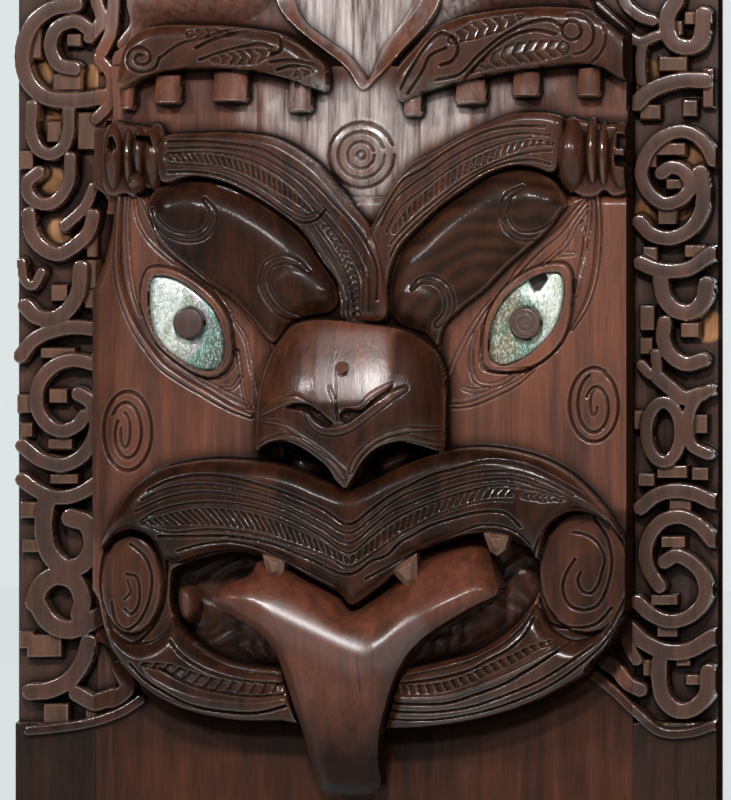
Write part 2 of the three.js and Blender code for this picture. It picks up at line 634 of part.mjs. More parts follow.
const RIGHT_STROKES = [
  { path: [[37, 333], [30, 322], [29, 308], [35, 297], [47, 294], [55, 297], [59, 308], [60, 321]], width: 12 },
  { path: [[3, 248], [13, 257], [28, 263], [43, 266], [60, 266]], width: 12 },
  { path: [[68, 200], [62, 211], [54, 220], [42, 224], [30, 222], [19, 215], [11, 203], [8, 188], [13, 173], [27, 164]],
    width: 10 },
  { path: [[27, 164], [42, 168], [49, 178], [44, 190], [33, 194], [24, 189]], width: 8 },
  { path: [[57, 190], [60, 171], [57, 155], [49, 142], [32, 135], [16, 138], [6, 148]], width: 11 },
  { path: [[7, 114], [19, 109], [34, 107], [49, 110], [66, 122]], width: 11 },
  { path: [[24, 100], [27, 85], [36, 75], [49, 73], [59, 82], [62, 97]], width: 12 },
  { path: [[27, 64], [26, 50], [33, 37], [45, 30], [59, 33]], width: 11 },
  { path: [[8, 29], [15, 22], [20, 24], [19, 38]], width: 7 },
  { path: [[22, 18], [32, 10], [44, 2], [57, 5]], width: 11 },
  { path: spiral(31, -27, 16, 16, 0.25, 1, 1.7).filter((_, i) => i % 2 === 0), width: 9 },
  { path: [[65, 8], [55, 2], [48, -10], [46, -25], [50, -38], [63, -45]], width: 8 },
  { path: [[7, -90], [19, -80], [34, -76], [50, -77], [67, -85]], width: 11 },
  { path: [[67, -117], [55, -104], [40, -97], [25, -101], [14, -113], [11, -130], [15, -144], [23, -155]], width: 10 },
  { path: [[27, -135], [36, -130], [49, -135], [59, -146], [61, -161], [55, -174], [44, -182], [29, -184], [15, -178],
    [4, -168]], width: 10 },
  { path: [[-6, -188], [11, -203], [30, -210], [49, -208], [67, -197]], width: 12 },
  { path: [[23, -218], [23, -235], [27, -250], [39, -259], [52, -256], [62, -245], [64, -226]], width: 12 },
  { path: [[5, -255], [20, -268], [34, -276], [49, -276], [65, -270]], width: 8 },
];
// Spacer bars left between the strokes: distance from the seam, z, width, height
const LEFT_SPACERS = [
  [52, 305, 7, 27], [25, 270, 22, 12], [5, 222, 18, 15], [37, 228, 10, 15], [32, 91, 12, 12], [4, 86, 10, 13],
  [33, 40, 27, 7], [28, -67, 22, 7], [58, -124, 12, 8], [45, -209, 27, 17], [35, -267, 18, 15],
];
const RIGHT_SPACERS = [
  [34, 280, 22, 10], [14, 240, 15, 10], [48, 243, 10, 12], [32, 209, 22, 8], [28, 153, 13, 10], [12, 68, 10, 18],
  [33, -60, 24, 8], [39, -89, 17, 10], [34, -118, 18, 8], [26, -167, 20, 7], [28, -194, 15, 7],
];

function sideBoard(side) {
  const strokes = side < 0 ? LEFT_STROKES : RIGHT_STROKES;
  const spacers = side < 0 ? LEFT_SPACERS : RIGHT_SPACERS;
  const place = (u, z) => [side * (CENTRE_WIDTH / 2 + u), z];
  const inner = side * (CENTRE_WIDTH / 2 + FIT / 2);
  const outer = side * (CENTRE_WIDTH / 2 + SIDE_WIDTH);
  const [x0, x1] = [Math.min(inner, outer), Math.max(inner, outer)];
  const ground = block(x0, x1, -HALF_HEIGHT, HALF_HEIGHT, 0, SIDE_GROUND_OUT);
  const plainFoot = block(x0, x1, -HALF_HEIGHT, SIDE_FOOT_Z, 0, CHEST_OUT);
  const bands = strokes.map(({ path, width }) =>
    band(path.map(([u, z]) => place(u, z)), [width, width], SIDE_GROUND_OUT - 4, SIDE_BAND_OUT),
  );
  const bars = spacers.map(([u, z, width, height]) => {
    const [x] = place(u, z);
    return block(x - width / 2, x + width / 2, z - height / 2, z + height / 2, SIDE_GROUND_OUT - 4, SPACER_OUT);
  });
  const envelope = block(x0, x1, -HALF_HEIGHT, HALF_HEIGHT, 0, 200);
  return cut(join([ground, plainFoot, ...bands, ...bars]).intersect(envelope), fixingCuts([side]));
}

const figure = new THREE.Group();
figure.rotation.x = Math.PI / 2;
figure.add(piece("centre_slab", centreSlab(), darkWood));
figure.add(piece("tongue", tongue(), darkWood));
const plug = rod(...NOSE_PLUG_PLACE, NOSE_PLUG_RADIUS, NOSE_OUT - NOSE_PLUG_LENGTH, NOSE_OUT - 3, 16);
figure.add(piece("nose_plug", plug, darkWood));
for (const name of Object.keys(TEETH)) {
  figure.add(piece(name, anyTooth(name, 0), toothWood));
}
for (const [name, side] of Object.entries({ left: -1, right: 1 })) {
  const eye = EYES[name];
  const shellBack = EYE_FLOOR_OUT + BEDDING_THICKNESS + 2 * FIT;
  figure.add(piece(`${name}_side_board`, sideBoard(side), borderWood));
  figure.add(piece(`${name}_eye_bedding`, eyeLayer(eye, EYE_FLOOR_OUT + FIT, BEDDING_THICKNESS, 0), gum));
  figure.add(piece(`${name}_eye_shell`, eyeLayer(eye, shellBack, SHELL_THICKNESS, 2), shell));
  figure.add(piece(`${name}_eye_peg`, eyePeg(eye), darkWood));
  for (const [row, z] of Object.entries(DOWEL_ROWS)) {
    figure.add(piece(`${name}_seam_dowel_${row}`, dowelSolid(side, z, 0), plainWood));
  }
}
for (const [row, z] of Object.entries(BATTEN_ROWS)) {
  const holes = screwPlaces().map((screw) => screwSolid(screw.x, screw.z, FIT));
  figure.add(piece(`${row}_batten`, cut(battenSlot(z, 0), holes), plainWood));
}
for (const { name, x, z } of screwPlaces()) {
  figure.add(piece(name, screwSolid(x, z, 0), steel));
}

export default figure;
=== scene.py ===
"""A carved ancestor panel: three boards of dark waxed wood with a great mask, shell eyes and a free tongue."""

import bpy
import numpy as np
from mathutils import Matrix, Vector


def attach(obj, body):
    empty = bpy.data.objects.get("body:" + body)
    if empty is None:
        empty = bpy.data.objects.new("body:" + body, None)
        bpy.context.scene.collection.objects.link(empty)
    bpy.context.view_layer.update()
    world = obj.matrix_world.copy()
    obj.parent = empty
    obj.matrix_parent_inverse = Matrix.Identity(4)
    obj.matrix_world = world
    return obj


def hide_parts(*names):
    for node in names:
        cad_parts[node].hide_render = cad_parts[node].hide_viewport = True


bl_info = {
    "name": "Carved ancestor panel",
    "version": (1, 0, 0),
    "blender": (4, 5, 0),
    "location": "3D View > Sidebar > Panel",
    "description": "Carves the face, borders, tongue and inlays of a wooden ancestor panel",
    "category": "Object",
}

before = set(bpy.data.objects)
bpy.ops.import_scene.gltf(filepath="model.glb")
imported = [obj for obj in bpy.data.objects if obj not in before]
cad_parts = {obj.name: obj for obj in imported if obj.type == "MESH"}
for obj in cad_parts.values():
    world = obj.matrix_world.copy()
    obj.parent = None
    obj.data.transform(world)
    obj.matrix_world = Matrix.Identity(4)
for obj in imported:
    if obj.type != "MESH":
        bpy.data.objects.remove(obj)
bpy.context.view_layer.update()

# Lengths on the carving are millimetres: x to the viewer's right, z up, and out from the flat back.
MM = 0.001
CELL = 0.85
HALF_HEIGHT = 370.0
HALF_WIDTH = 300.0
SEAM = 230.15
SLOT_Z = 230.0
SLOT_HALF_HEIGHT = 24.3
SLOT_HALF_LENGTH = 280.3
SLOT_DEPTH = 18.3

# Heights out from the back
CHEST = 44.0
BORDER_GROUND = 32.0
BORDER_BAND = 50.0
BORDER_BAR = 44.5
FOREHEAD = 76.0
CROWN = 68.0
CHEEK = 84.0
BROW = 106.0
MOUND = 101.0
LIP = 118.0
LOWER_LIP = 104.0
CORNER_PAD = 92.0
EAR = 90.0
FOOT = 106.0
WEDGE = 70.0
CHEST_RIDGE = 62.0
MOUTH_FLOOR = 60.0
EYE_FLOOR = 68.0
EYE_LID = 87.5
SHELL_BACK = 75.0
SHELL_TOP = 81.0
PEG_TOP = 95.0
TONGUE = 130.0

# The height at which each form's lines are seen in the photograph, about the middle of its own height
SEEN = {
    "mound": 96, "crescent": 100, "eye_field": 86, "eye": 88, "shell": 85, "nose_rows": 104, "nose": 112,
    "nostril": 92, "pocket": 134, "rope": 132, "nose_cut": 138, "lip_edge": 108, "lip": 112, "jaw_edge": 98,
    "jaw": 100, "scroll": 90, "ear": 90, "lobe": 98, "toe": 90, "toe_shade": 92, "foot_edge": 102, "foot": 104,
    "thigh": 84, "bevel": 78, "corner": 50, "shade": 96, "ring_grain": 100, "tongue_rows": 118, "tongue_middle": 124,
    "stem": 110, "crack": 118, "sheen": 126, "tooth": 104, "corner_tooth": 84,
}

# The photograph's view, which the camera takes: turned to the panel's right, at eye level
VIEW_TURN = np.radians(10.5)
VIEW_DISTANCE = 5000.0
VIEW_FOCUS = 5947.0
VIEW_AIM = (4.0, 50.0, 0.0)
FRAME_SIZE = (731, 800)
SENSOR = 36.0


def at(points, out):
    """Photograph places as carving places: the view line through each pixel meets the upright plane at that height."""
    pixels = np.asarray(points, float)
    sine, cosine = np.sin(VIEW_TURN), np.cos(VIEW_TURN)
    sideways = pixels[..., 0] - FRAME_SIZE[0] / 2
    forward = np.asarray(out, float) - VIEW_AIM[1]
    x = (sideways * (VIEW_DISTANCE - forward * cosine) + VIEW_FOCUS * forward * sine)
    x = x / (VIEW_FOCUS * cosine + sideways * sine)
    depth = VIEW_DISTANCE - x * sine - forward * cosine
    z = (FRAME_SIZE[1] / 2 - pixels[..., 1]) * depth / VIEW_FOCUS
    return np.stack([x + VIEW_AIM[0], z + VIEW_AIM[2]], axis=-1)


def smooth_line(points, closed=False, step=2.0):
    """Places on a centripetal Catmull-Rom curve: cubic stretches whose end slopes come from the neighbouring places."""
    p = np.asarray(points, float)
    before, after = (p[-1:], p[:2]) if closed else (2 * p[:1] - p[1:2], 2 * p[-1:] - p[-2:-1])
    p = np.vstack([before, p, after])
    t = np.concatenate([[0], np.cumsum(np.sqrt(np.linalg.norm(np.diff(p, axis=0), axis=1)) + 1e-9)])
    gap, span = np.diff(t)[:, None], (t[2:] - t[:-2])[:, None]
    rise = np.diff(p, axis=0) / gap
    slope = rise[:-1] - (p[2:] - p[:-2]) / span + rise[1:]
    knots, times = p[1:-1], t[1:-1]
    length = np.linalg.norm(np.diff(knots, axis=0), axis=1).sum()
    q = np.linspace(times[0], times[-1], max(int(length / step), 2 * len(knots)) + 1)
    i = np.clip(np.searchsorted(times, q, side="right") - 1, 0, len(times) - 2)
    h = (times[i + 1] - times[i])[:, None]
    w = (q - times[i])[:, None] / h
    line = (1 + 2 * w) * (1 - w) ** 2 * knots[i] + w * w * (3 - 2 * w) * knots[i + 1]
    return line + h * w * (1 - w) * ((1 - w) * slope[i] - w * slope[i + 1])


def along(line, x, z):
    """Distance d across a line of places, positive on its left, and the run s along it to the nearest place."""
    steps = np.diff(line, axis=0)
    lengths = np.maximum(np.hypot(*steps.T), 1e-9)
    starts = np.concatenate([[0], np.cumsum(lengths)[:-1]])
    best = np.full(x.shape, np.inf)
    side, run = np.zeros(x.shape), np.zeros(x.shape)
    for (ax, az), (dx, dz), length, start in zip(line[:-1], steps, lengths, starts):
        px, pz = x - ax, z - az
        t = np.clip((px * dx + pz * dz) / length**2, 0, 1)
        ex, ez = px - t * dx, pz - t * dz
        far = ex * ex + ez * ez
        nearer = far < best
        best = np.where(nearer, far, best)
        side = np.where(nearer, dx * ez - dz * ex, side)
        run = np.where(nearer, start + t * length, run)
    return np.sqrt(best) * np.where(side < 0, -1, 1), run


def inside(outline, x, z):
    """Distance in from a closed outline, negative outside: nearest edge, signed by how many edges lie to the right."""
    ring = np.vstack([outline, outline[:1]])
    odd = np.zeros(x.shape, bool)
    for (ax, az), (bx, bz) in zip(ring[:-1], ring[1:]):
        if az != bz:
            odd ^= ((az > z) != (bz > z)) & (x < (bx - ax) * (z - az) / (bz - az) + ax)
    return np.abs(along(ring, x, z)[0]) * np.where(odd, 1, -1)


def soften(field, reach):
    """A field averaged twice over squares about as wide as reach, in millimetres, by running sums."""
    half = max(int(round(reach / CELL / 2)), 1)
    for _ in range(2):
        for axis in (0, 1):
            pad = [(0, 0), (0, 0)]
            pad[axis] = (half + 1, half)
            total = np.cumsum(np.pad(field, pad, mode="edge"), axis=axis)
            count = field.shape[axis]
            upper = np.take(total, range(2 * half + 1, 2 * half + 1 + count), axis=axis)
            field = (upper - np.take(total, range(count), axis=axis)) / (2 * half + 1)
    return field


def quarter(e):
    """A quarter circle: 0 at the edge, 1 at one radius in."""
    return np.sqrt(1 - (1 - np.clip(e, 0, 1)) ** 2)


# What the surface is like from place to place, each 0 to 1: the first three follow from its heights. Hollow and deep
# carry painted shade, crest carries wear and a painted highlight, the dry tone is dry wood with a painted sheen, and
# the stain tone is stain with some painted shade.
TONES = ("hollow", "deep", "crest", "dry", "raw", "ring", "stain", "polish")


class Relief:
    """A carved face: its height out from the back at places (x, z) on a square grid."""

    def __init__(self, x_range, z_range, ground):
        """A flat face at the height of the ground, with every tone at 0."""
        self.x = np.linspace(*x_range, round((x_range[1] - x_range[0]) / CELL) + 1)
        self.z = np.linspace(*z_range, round((z_range[1] - z_range[0]) / CELL) + 1)
        self.grid_x, self.grid_z = np.meshgrid(self.x, self.z)
        self.out = np.full(self.grid_x.shape, float(ground))
        self.tone = {name: np.zeros(self.grid_x.shape) for name in TONES[3:]}

    def near(self, line, margin):
        """The part of the grid round a line of places, with its x and z."""
        low, high = line.min(0) - margin, line.max(0) + margin
        i = np.searchsorted(self.x, [low[0], high[0]])
        j = np.searchsorted(self.z, [low[1], high[1]])
        part = (slice(max(j[0] - 1, 0), j[1] + 1), slice(max(i[0] - 1, 0), i[1] + 1))
        return part, self.grid_x[part], self.grid_z[part]

    def lay(self, part, height, edge):
        """Takes a new height where edge is positive, blended over one and a half cells."""
        cover = np.clip(edge / (1.5 * CELL) + 0.5, 0, 1)
        self.out[part] += cover * (height - self.out[part])

    def tint(self, name, part, mask):
        """Takes a mask as the tone wherever the mask is the stronger of the two."""
        self.tone[name][part] = np.maximum(self.tone[name][part], mask)


def raise_area(relief, outline, top, shoulder=2.0):
    """The inside of an outline lifted to a height, its edge rounded by a quarter circle."""
    part, x, z = relief.near(outline, 2)
    edge = inside(outline, x, z)
    height = top - shoulder * (1 - quarter(edge / shoulder))
    relief.lay(part, np.maximum(height, relief.out[part]), edge)


def sink_area(relief, outline, floor, shoulder=1.0):
    """The inside of an outline sunk to a floor, with a hollow corner all round."""
    part, x, z = relief.near(outline, 2)
    edge = inside(outline, x, z)
    height = floor + shoulder * (1 - quarter(edge / shoulder))
    relief.lay(part, np.minimum(height, relief.out[part]), edge)


def swell(relief, outline, rise, reach):
    """A cushion: rise times a parabola of the distance in from the outline, full at reach, then softened."""
    part, x, z = relief.near(outline, reach)
    p = np.clip(inside(outline, x, z) / reach, 0, 1)
    relief.out[part] += soften(rise * (1 - (1 - p) ** 2), reach / 3)


def cushion(relief, line, top, rise, shoulder, reach):
    """An area raised to top less rise and swollen by rise, so that its middle stands at top."""
    raise_area(relief, line, top - rise, shoulder)
    swell(relief, line, rise, reach)


def knob(relief, centre, radii, base, top, turn=0.0):
    """A half ellipsoid standing on a base, joined to what is there by the greater height."""
    c = np.asarray(centre, float)
    part, x, z = relief.near(c[None], max(radii))
    px, pz = x - c[0], z - c[1]
    u = (px * np.cos(turn) + pz * np.sin(turn)) / radii[0]
    v = (pz * np.cos(turn) - px * np.sin(turn)) / radii[1]
    height = base + (top - base) * np.sqrt(np.clip(1 - u * u - v * v, 0, 1))
    relief.out[part] = np.where(u * u + v * v < 1, np.maximum(relief.out[part], height), relief.out[part])


def half_widths(widths, run, line):
    """Half the width of a cut or band at a run along its line, from widths spread evenly over it."""
    whole = np.hypot(*np.diff(line, axis=0).T).sum()
    widths = np.atleast_1d(widths)
    return np.interp(run / whole, np.linspace(0, 1, len(widths)), widths) / 2


CUT = 1.35  # how much deeper all lines and notches are cut than the depths in the tables
THINNEST = 0.05  # the least half-width of a cut, in millimetres


def groove(relief, line, widths, depth):
    """A cut along a line, deepest in the middle: depth times one less the 1.5th power of the share across."""
    part, x, z = relief.near(line, np.max(widths))
    d, run = along(line, x, z)
    share = np.clip(np.abs(d) / np.maximum(half_widths(widths, run, line), THINNEST), 0, 1)
    relief.out[part] -= CUT * depth * (1 - share**1.5)


def bead(relief, line, widths, rise, crown=0.6):
    """A raised bead along a line: rise times a power of one less the squared share across."""
    part, x, z = relief.near(line, np.max(widths))
    d, run = along(line, x, z)
    share = np.clip(np.abs(d) / np.maximum(half_widths(widths, run, line), THINNEST), 0, 1)
    relief.out[part] += rise * (1 - share**2) ** crown


def notches(relief, line, widths, pitch, slant, depth, chevron=False):
    """A row of saw-tooth notches: depth falls evenly over each pitch of the run, which slants across the row."""
    part, x, z = relief.near(line, np.max(widths))
    d, run = along(line, x, z)
    half = np.maximum(half_widths(widths, run, line), THINNEST)
    share = np.clip(np.abs(d) / half, 0, 1)
    phase = (run + slant * (np.abs(d) if chevron else d)) / pitch
    saw = 1 - np.mod(phase, 1.0)
    cut = CUT * depth * (0.2 + 0.8 * saw**1.4) * np.clip((1 - share) * 4, 0, 1)
    relief.out[part] -= cut


def stroke(relief, line, widths, top, crown=0.7, bevel=2.0):
    """A band over the ground: a nearly flat top with edges rounded by the bevel; the higher stays at a crossing."""
    part, x, z = relief.near(line, np.max(widths))
    d, run = along(line, x, z)
    half = half_widths(widths, run, line)
    edge = half - np.abs(d)
    height = top - bevel * (1 - quarter(edge / bevel)) - crown * (d / half) ** 2
    relief.lay(part, np.maximum(height, relief.out[part]), edge)


def spiral(centre, outer, inner, start, turns, stretch=1.0):
    """Photograph places on a spiral that shrinks evenly; start and turns are in whole turns, clockwise positive."""
    t = np.linspace(0, 1, int(abs(turns) * 20) + 1)
    angle = 2 * np.pi * (start + turns * t)
    radius = outer + (inner - outer) * t
    return np.stack([centre[0] + radius * np.cos(angle), centre[1] + stretch * radius * np.sin(angle)], axis=-1)


def oval(centre, radius, stretch=1.0):
    """Photograph places on an ellipse: one turn of a spiral that doesn't shrink."""
    return spiral(centre, radius, radius, 0, 1, stretch)[:-1]


def photo_line(points, out, closed=False):
    """The smooth line through photograph places that are all seen at one height."""
    return smooth_line(at(points, out), closed)


def cut_all(relief, tool, table, out):
    """One cut for each row of a table: its line through photograph places, then what the tool takes."""
    for line, *sizes in table:
        tool(relief, photo_line(line, out), *sizes)


def sunk_bead(relief, line, widths, rise, margin, depth, crown):
    """A bead in a groove that is wider than the bead by the margin."""
    groove(relief, line, np.array(widths) + margin, depth)
    bead(relief, line, widths, rise, crown)


# Outlines and lines of the carving, as places in the photograph's frame
LEFT_JAW = [(279, 722), (243, 722), (207, 717), (171, 706), (145, 690), (122, 668), (108, 648)]
RIGHT_JAW = [(627, 612), (616, 640), (591, 669), (563, 687), (524, 706), (477, 720), (424, 728), (384, 730)]
LEFT_MOUTH = [(177, 627), (189, 641), (207, 654), (229, 663), (254, 667), (284, 670)]
RIGHT_MOUTH = [(441, 661), (470, 653), (493, 641), (515, 623), (530, 604)]
CHIN = (348, 728)
HEAD = [
    (114, 196), (640, 195), (640, 575), (632, 592), *RIGHT_JAW, (340, 728), (302, 724), *LEFT_JAW, (101, 625),
    (96, 600), (90, 590), (90, 290), (97, 276), (104, 258), (110, 230),
]
# Below the frame, in millimetres
RIDGE_AREA = [(-34.0, -380.0), (16.0, -380.0), (16.0, -346.0), (-34.0, -346.0)]
CROWN_AREA = [(80, -60), (650, -60), (650, 66), (80, 66)]
FOREHEAD_AREA = [(85, 62), (645, 62), (645, 215), (85, 215)]
LEFT_BROW = [
    (160, 138), (200, 132), (236, 132), (271, 137), (296, 150), (318, 167), (338, 190), (356, 212), (374, 234),
    (382, 262), (384, 318), (340, 318), (338, 297), (334, 281), (320, 260), (300, 231), (279, 213), (246, 193),
    (214, 180), (189, 177), (160, 182),
]
RIGHT_BROW = [
    (366, 236), (376, 214), (384, 196), (398, 174), (414, 160), (434, 150), (462, 134), (496, 118), (524, 111),
    (560, 117), (562, 136), (553, 172), (531, 167), (512, 166), (489, 173), (462, 190), (439, 206), (416, 228),
    (399, 247), (390, 268), (386, 293), (382, 320), (362, 320),
]
LEFT_MOUND = [
    (152, 190), (168, 183), (189, 179), (214, 182), (246, 195), (279, 216), (300, 234), (320, 262), (334, 283),
    (338, 300), (330, 312), (311, 316), (290, 322), (272, 343), (250, 319), (228, 297), (205, 282), (182, 264),
    (162, 247), (150, 232), (144, 212),
]
RIGHT_MOUND = [
    (386, 293), (390, 270), (399, 249), (416, 231), (439, 209), (462, 192), (489, 175), (512, 168), (531, 169),
    (550, 178), (562, 192), (565, 207), (551, 227), (531, 246), (508, 266), (485, 290), (462, 308), (445, 326),
    (436, 346), (424, 334), (400, 326), (388, 312),
]
NOSE_OUTLINE = [
    (286, 327), (303, 320), (330, 319), (349, 321), (373, 324), (394, 327), (415, 335), (432, 350), (441, 373),
    (443, 395), (443, 430), (441, 452), (422, 447), (406, 443), (389, 446), (375, 454), (363, 467), (355, 480),
    (348, 489), (338, 481), (330, 468), (316, 456), (300, 446), (286, 442), (268, 445), (254, 452), (254, 420),
    (256, 390), (264, 362), (274, 342),
]
UPPER_LIP = [
    (98, 552), (103, 530), (115, 509), (133, 486), (159, 469), (186, 462), (214, 459), (242, 460), (269, 462),
    (300, 470), (325, 481), (350, 488), (386, 472), (416, 459), (447, 450), (478, 447), (512, 451), (543, 460),
    (566, 472), (586, 489), (606, 512), (622, 540), (602, 520), (572, 512), (546, 528), (536, 560), (527, 548),
    (508, 538), (478, 534), (447, 540), (428, 547), (405, 560), (390, 578), (371, 593), (350, 606), (338, 594),
    (305, 576), (279, 561), (255, 554), (228, 550), (202, 554), (178, 562), (164, 560), (152, 540), (130, 530),
    (112, 535),
]
MOUTH = [
    (178, 566), (202, 558), (228, 553), (255, 557), (279, 565), (305, 580), (338, 598), (350, 611), (371, 597),
    (390, 581), (405, 564), (428, 551), (447, 544), (478, 538), (508, 541), (527, 551), (536, 563), (537, 585),
    *RIGHT_MOUTH[::-1], (407, 668), (350, 680), *LEFT_MOUTH[::-1], (169, 612), (167, 590), (170, 570),
]
LEFT_LOWER_LIP = [
    (100, 610), (110, 632), (128, 644), (150, 642), (168, 626), (170, 612), *LEFT_MOUTH, (304, 724), *LEFT_JAW,
]
RIGHT_LOWER_LIP = [
    (392, 672), *RIGHT_MOUTH, (538, 612), (548, 628), (572, 642), (600, 632), (620, 606), (634, 580), (632, 592),
    *RIGHT_JAW,
]
TONGUE_OUTLINE = [
    (214, 597), (222, 587), (238, 580), (251, 574), (256, 562), (279, 567), (305, 582), (338, 600), (350, 612),
    (371, 599), (390, 584), (405, 566), (428, 553), (447, 546), (478, 540), (486, 556), (493, 576), (498, 592),
    (474, 606), (447, 622), (428, 635), (412, 650), (400, 668), (392, 685), (385, 707), (378, 733), (375, 760),
    (374, 791), (345, 797), (317, 792), (308, 764), (301, 733), (293, 707), (285, 679), (278, 655), (270, 642),
    (259, 631), (243, 621), (225, 610), (216, 604),
]
LEFT_SHELL = [
    (150, 285), (153, 277), (163, 276), (179, 281), (197, 293), (212, 308), (220, 324), (224, 343), (223, 358),
    (217, 368), (203, 370), (188, 364), (170, 352), (157, 337), (151, 320), (149, 300),
]
RIGHT_SHELL = [
    (559, 273), (547, 273), (529, 280), (512, 291), (499, 307), (492, 326), (489, 345), (492, 360), (502, 365),
    (517, 361), (534, 350), (548, 336), (558, 320), (563, 301), (564, 285),
]
LEFT_PEG = (188, 323)
RIGHT_PEG = (525, 323)
SHELL_NOTCH = [(528, 280), (545, 272), (548, 279), (540, 290), (534, 291)]


def base_forms(relief):
    """The chest's ridge, the forehead and the head plate, each raised to its height, and the flat crown above."""
    raise_area(relief, np.array(RIDGE_AREA), CHEST_RIDGE, shoulder=6.0)
    raise_area(relief, photo_line(FOREHEAD_AREA, FOREHEAD), FOREHEAD, shoulder=1.5)
    raise_area(relief, at(HEAD, CHEEK), CHEEK, shoulder=9.0)
    line = at(CROWN_AREA, CROWN)
    part, x, z = relief.near(line, 2)
    relief.lay(part, np.full(x.shape, CROWN), inside(line, x, z))


# Lines, widths and depths
LEFT_BROW_GROOVES = [
    ([(168, 141), (200, 141), (236, 144), (262, 149), (287, 164), (311, 180), (332, 201), (353, 224), (368, 246),
      (377, 266), (378, 300)], 2.2, 2.2),
    ([(168, 148), (200, 147), (232, 149), (258, 155), (282, 168), (303, 184), (322, 205), (342, 228), (358, 250),
      (368, 270), (370, 312)], 1.8, 1.8),
    ([(168, 153), (200, 152), (228, 154), (254, 161), (278, 175), (298, 191), (316, 211), (334, 232), (350, 254),
      (361, 276), (363, 314)], 1.8, 1.8),
    ([(168, 163), (200, 165), (222, 168), (246, 178), (268, 192), (288, 206), (303, 214), (318, 212)], 1.8, 1.8),
    ([(168, 172), (196, 172), (220, 176), (246, 187), (268, 201), (284, 213), (300, 222), (316, 220), (325, 210)],
     2.2, 2.4),
    ([(302, 230), (322, 258), (335, 280), (342, 300), (343, 318)], 1.8, 1.8),
    ([(308, 227), (327, 254), (340, 277), (347, 298), (348, 318)], 1.8, 1.8),
    ([(315, 224), (332, 248), (345, 272), (352, 296), (353, 318)], 1.8, 1.8),
]
RIGHT_BROW_GROOVES = [
    ([(374, 224), (383, 210), (391, 196), (404, 179), (422, 169), (438, 157), (460, 143), (486, 131), (512, 126),
      (545, 126)], 2.2, 2.2),
    ([(381, 226), (388, 210), (398, 196), (414, 183), (432, 171), (449, 159), (470, 147), (494, 138), (520, 133),
      (550, 135)], 1.8, 1.8),
    ([(386, 232), (394, 216), (406, 202), (422, 190), (440, 176), (462, 161), (484, 150), (506, 142), (530, 137)],
     1.6, 1.6),
    ([(390, 244), (400, 232), (420, 213), (440, 197), (464, 179), (488, 166), (510, 157), (530, 152), (552, 150)],
     1.8, 1.8),
    ([(390, 256), (397, 243), (416, 223), (439, 203), (462, 185), (486, 170), (510, 162), (532, 160), (550, 164)],
     2.0, 2.2),
]
BROW_BEAD = [(214, 184), (246, 194), (268, 208), (288, 223)]
NOTCH_ROWS = [
    # line, widths, pitch, slant, depth, chevron
    ([(168, 157), (200, 158), (225, 162), (250, 170), (275, 184), (296, 199), (310, 211)],
     [8, 9, 9, 9, 3], 5.2, 0.8, 2.0, False),
    ([(323, 224), (337, 243), (348, 264), (355, 288), (357, 316)], [5, 9, 9, 8], 5.6, -1.0, 1.8, True),
    ([(394, 230), (414, 208), (436, 189), (459, 172), (482, 160), (506, 149), (530, 143), (553, 143)],
     [6, 9, 9, 9, 8, 3], 6.0, -0.9, 2.0, False),
]


def brows(relief):
    """Two arched brows with parallel lines and notched rows, meeting in a V over the nose."""
    for outline in (LEFT_BROW, RIGHT_BROW):
        cushion(relief, photo_line(outline, BROW, closed=True), BROW, rise=4.0, shoulder=3.0, reach=8.0)
    cut_all(relief, groove, LEFT_BROW_GROOVES + RIGHT_BROW_GROOVES, BROW)
    cut_all(relief, notches, NOTCH_ROWS, BROW)
    bead(relief, photo_line(BROW_BEAD, BROW), [2, 6, 6, 2], rise=1.5)


CRESCENTS = [
    # line, widths, middle of the disc that it goes round, half-width and half-height of the disc
    ([(204, 199), (212, 210), (211, 224), (202, 235), (186, 238), (168, 233), (156, 222), (151, 210)],
     [1, 6, 6.5, 6.5, 6, 5, 3], (180, 210), (25, 24)),
    ([(309, 272), (297, 262), (282, 259), (268, 266), (263, 281), (270, 299), (283, 313), (300, 320)],
     [1, 6, 7, 7, 7, 5], (303, 288), (31, 23)),
    ([(522, 187), (508, 196), (504, 212), (508, 227), (521, 236), (537, 235), (552, 226), (563, 211), (566, 200)],
     [1, 6, 7, 7, 6, 4], (535, 207), (26, 23)),
    ([(412, 289), (420, 281), (434, 280), (446, 290), (449, 302), (446, 315), (436, 325)],
     [1, 6, 7, 7, 4], (410, 305), (29, 20)),
]


def mounds(relief):
    """The swelling between brow and eye, with two crescents, each round a smooth disc."""
    for outline in (LEFT_MOUND, RIGHT_MOUND):
        line = photo_line(outline, SEEN["mound"], closed=True)
        cushion(relief, line, MOUND, rise=12.0, shoulder=3.0, reach=24.0)
    for line, widths, middle, (half_width, half_height) in CRESCENTS:
        path = photo_line(line, SEEN["crescent"])
        groove(relief, path, np.array(widths) + 3.4, depth=2.4)
        bead(relief, path, np.array(widths) - 0.5, rise=3.0, crown=0.5)
        disc = spiral(middle, half_width, half_width, 0, 1, half_height / half_width)
        swell(relief, at(disc, SEEN["crescent"]), rise=1.6, reach=10.0)


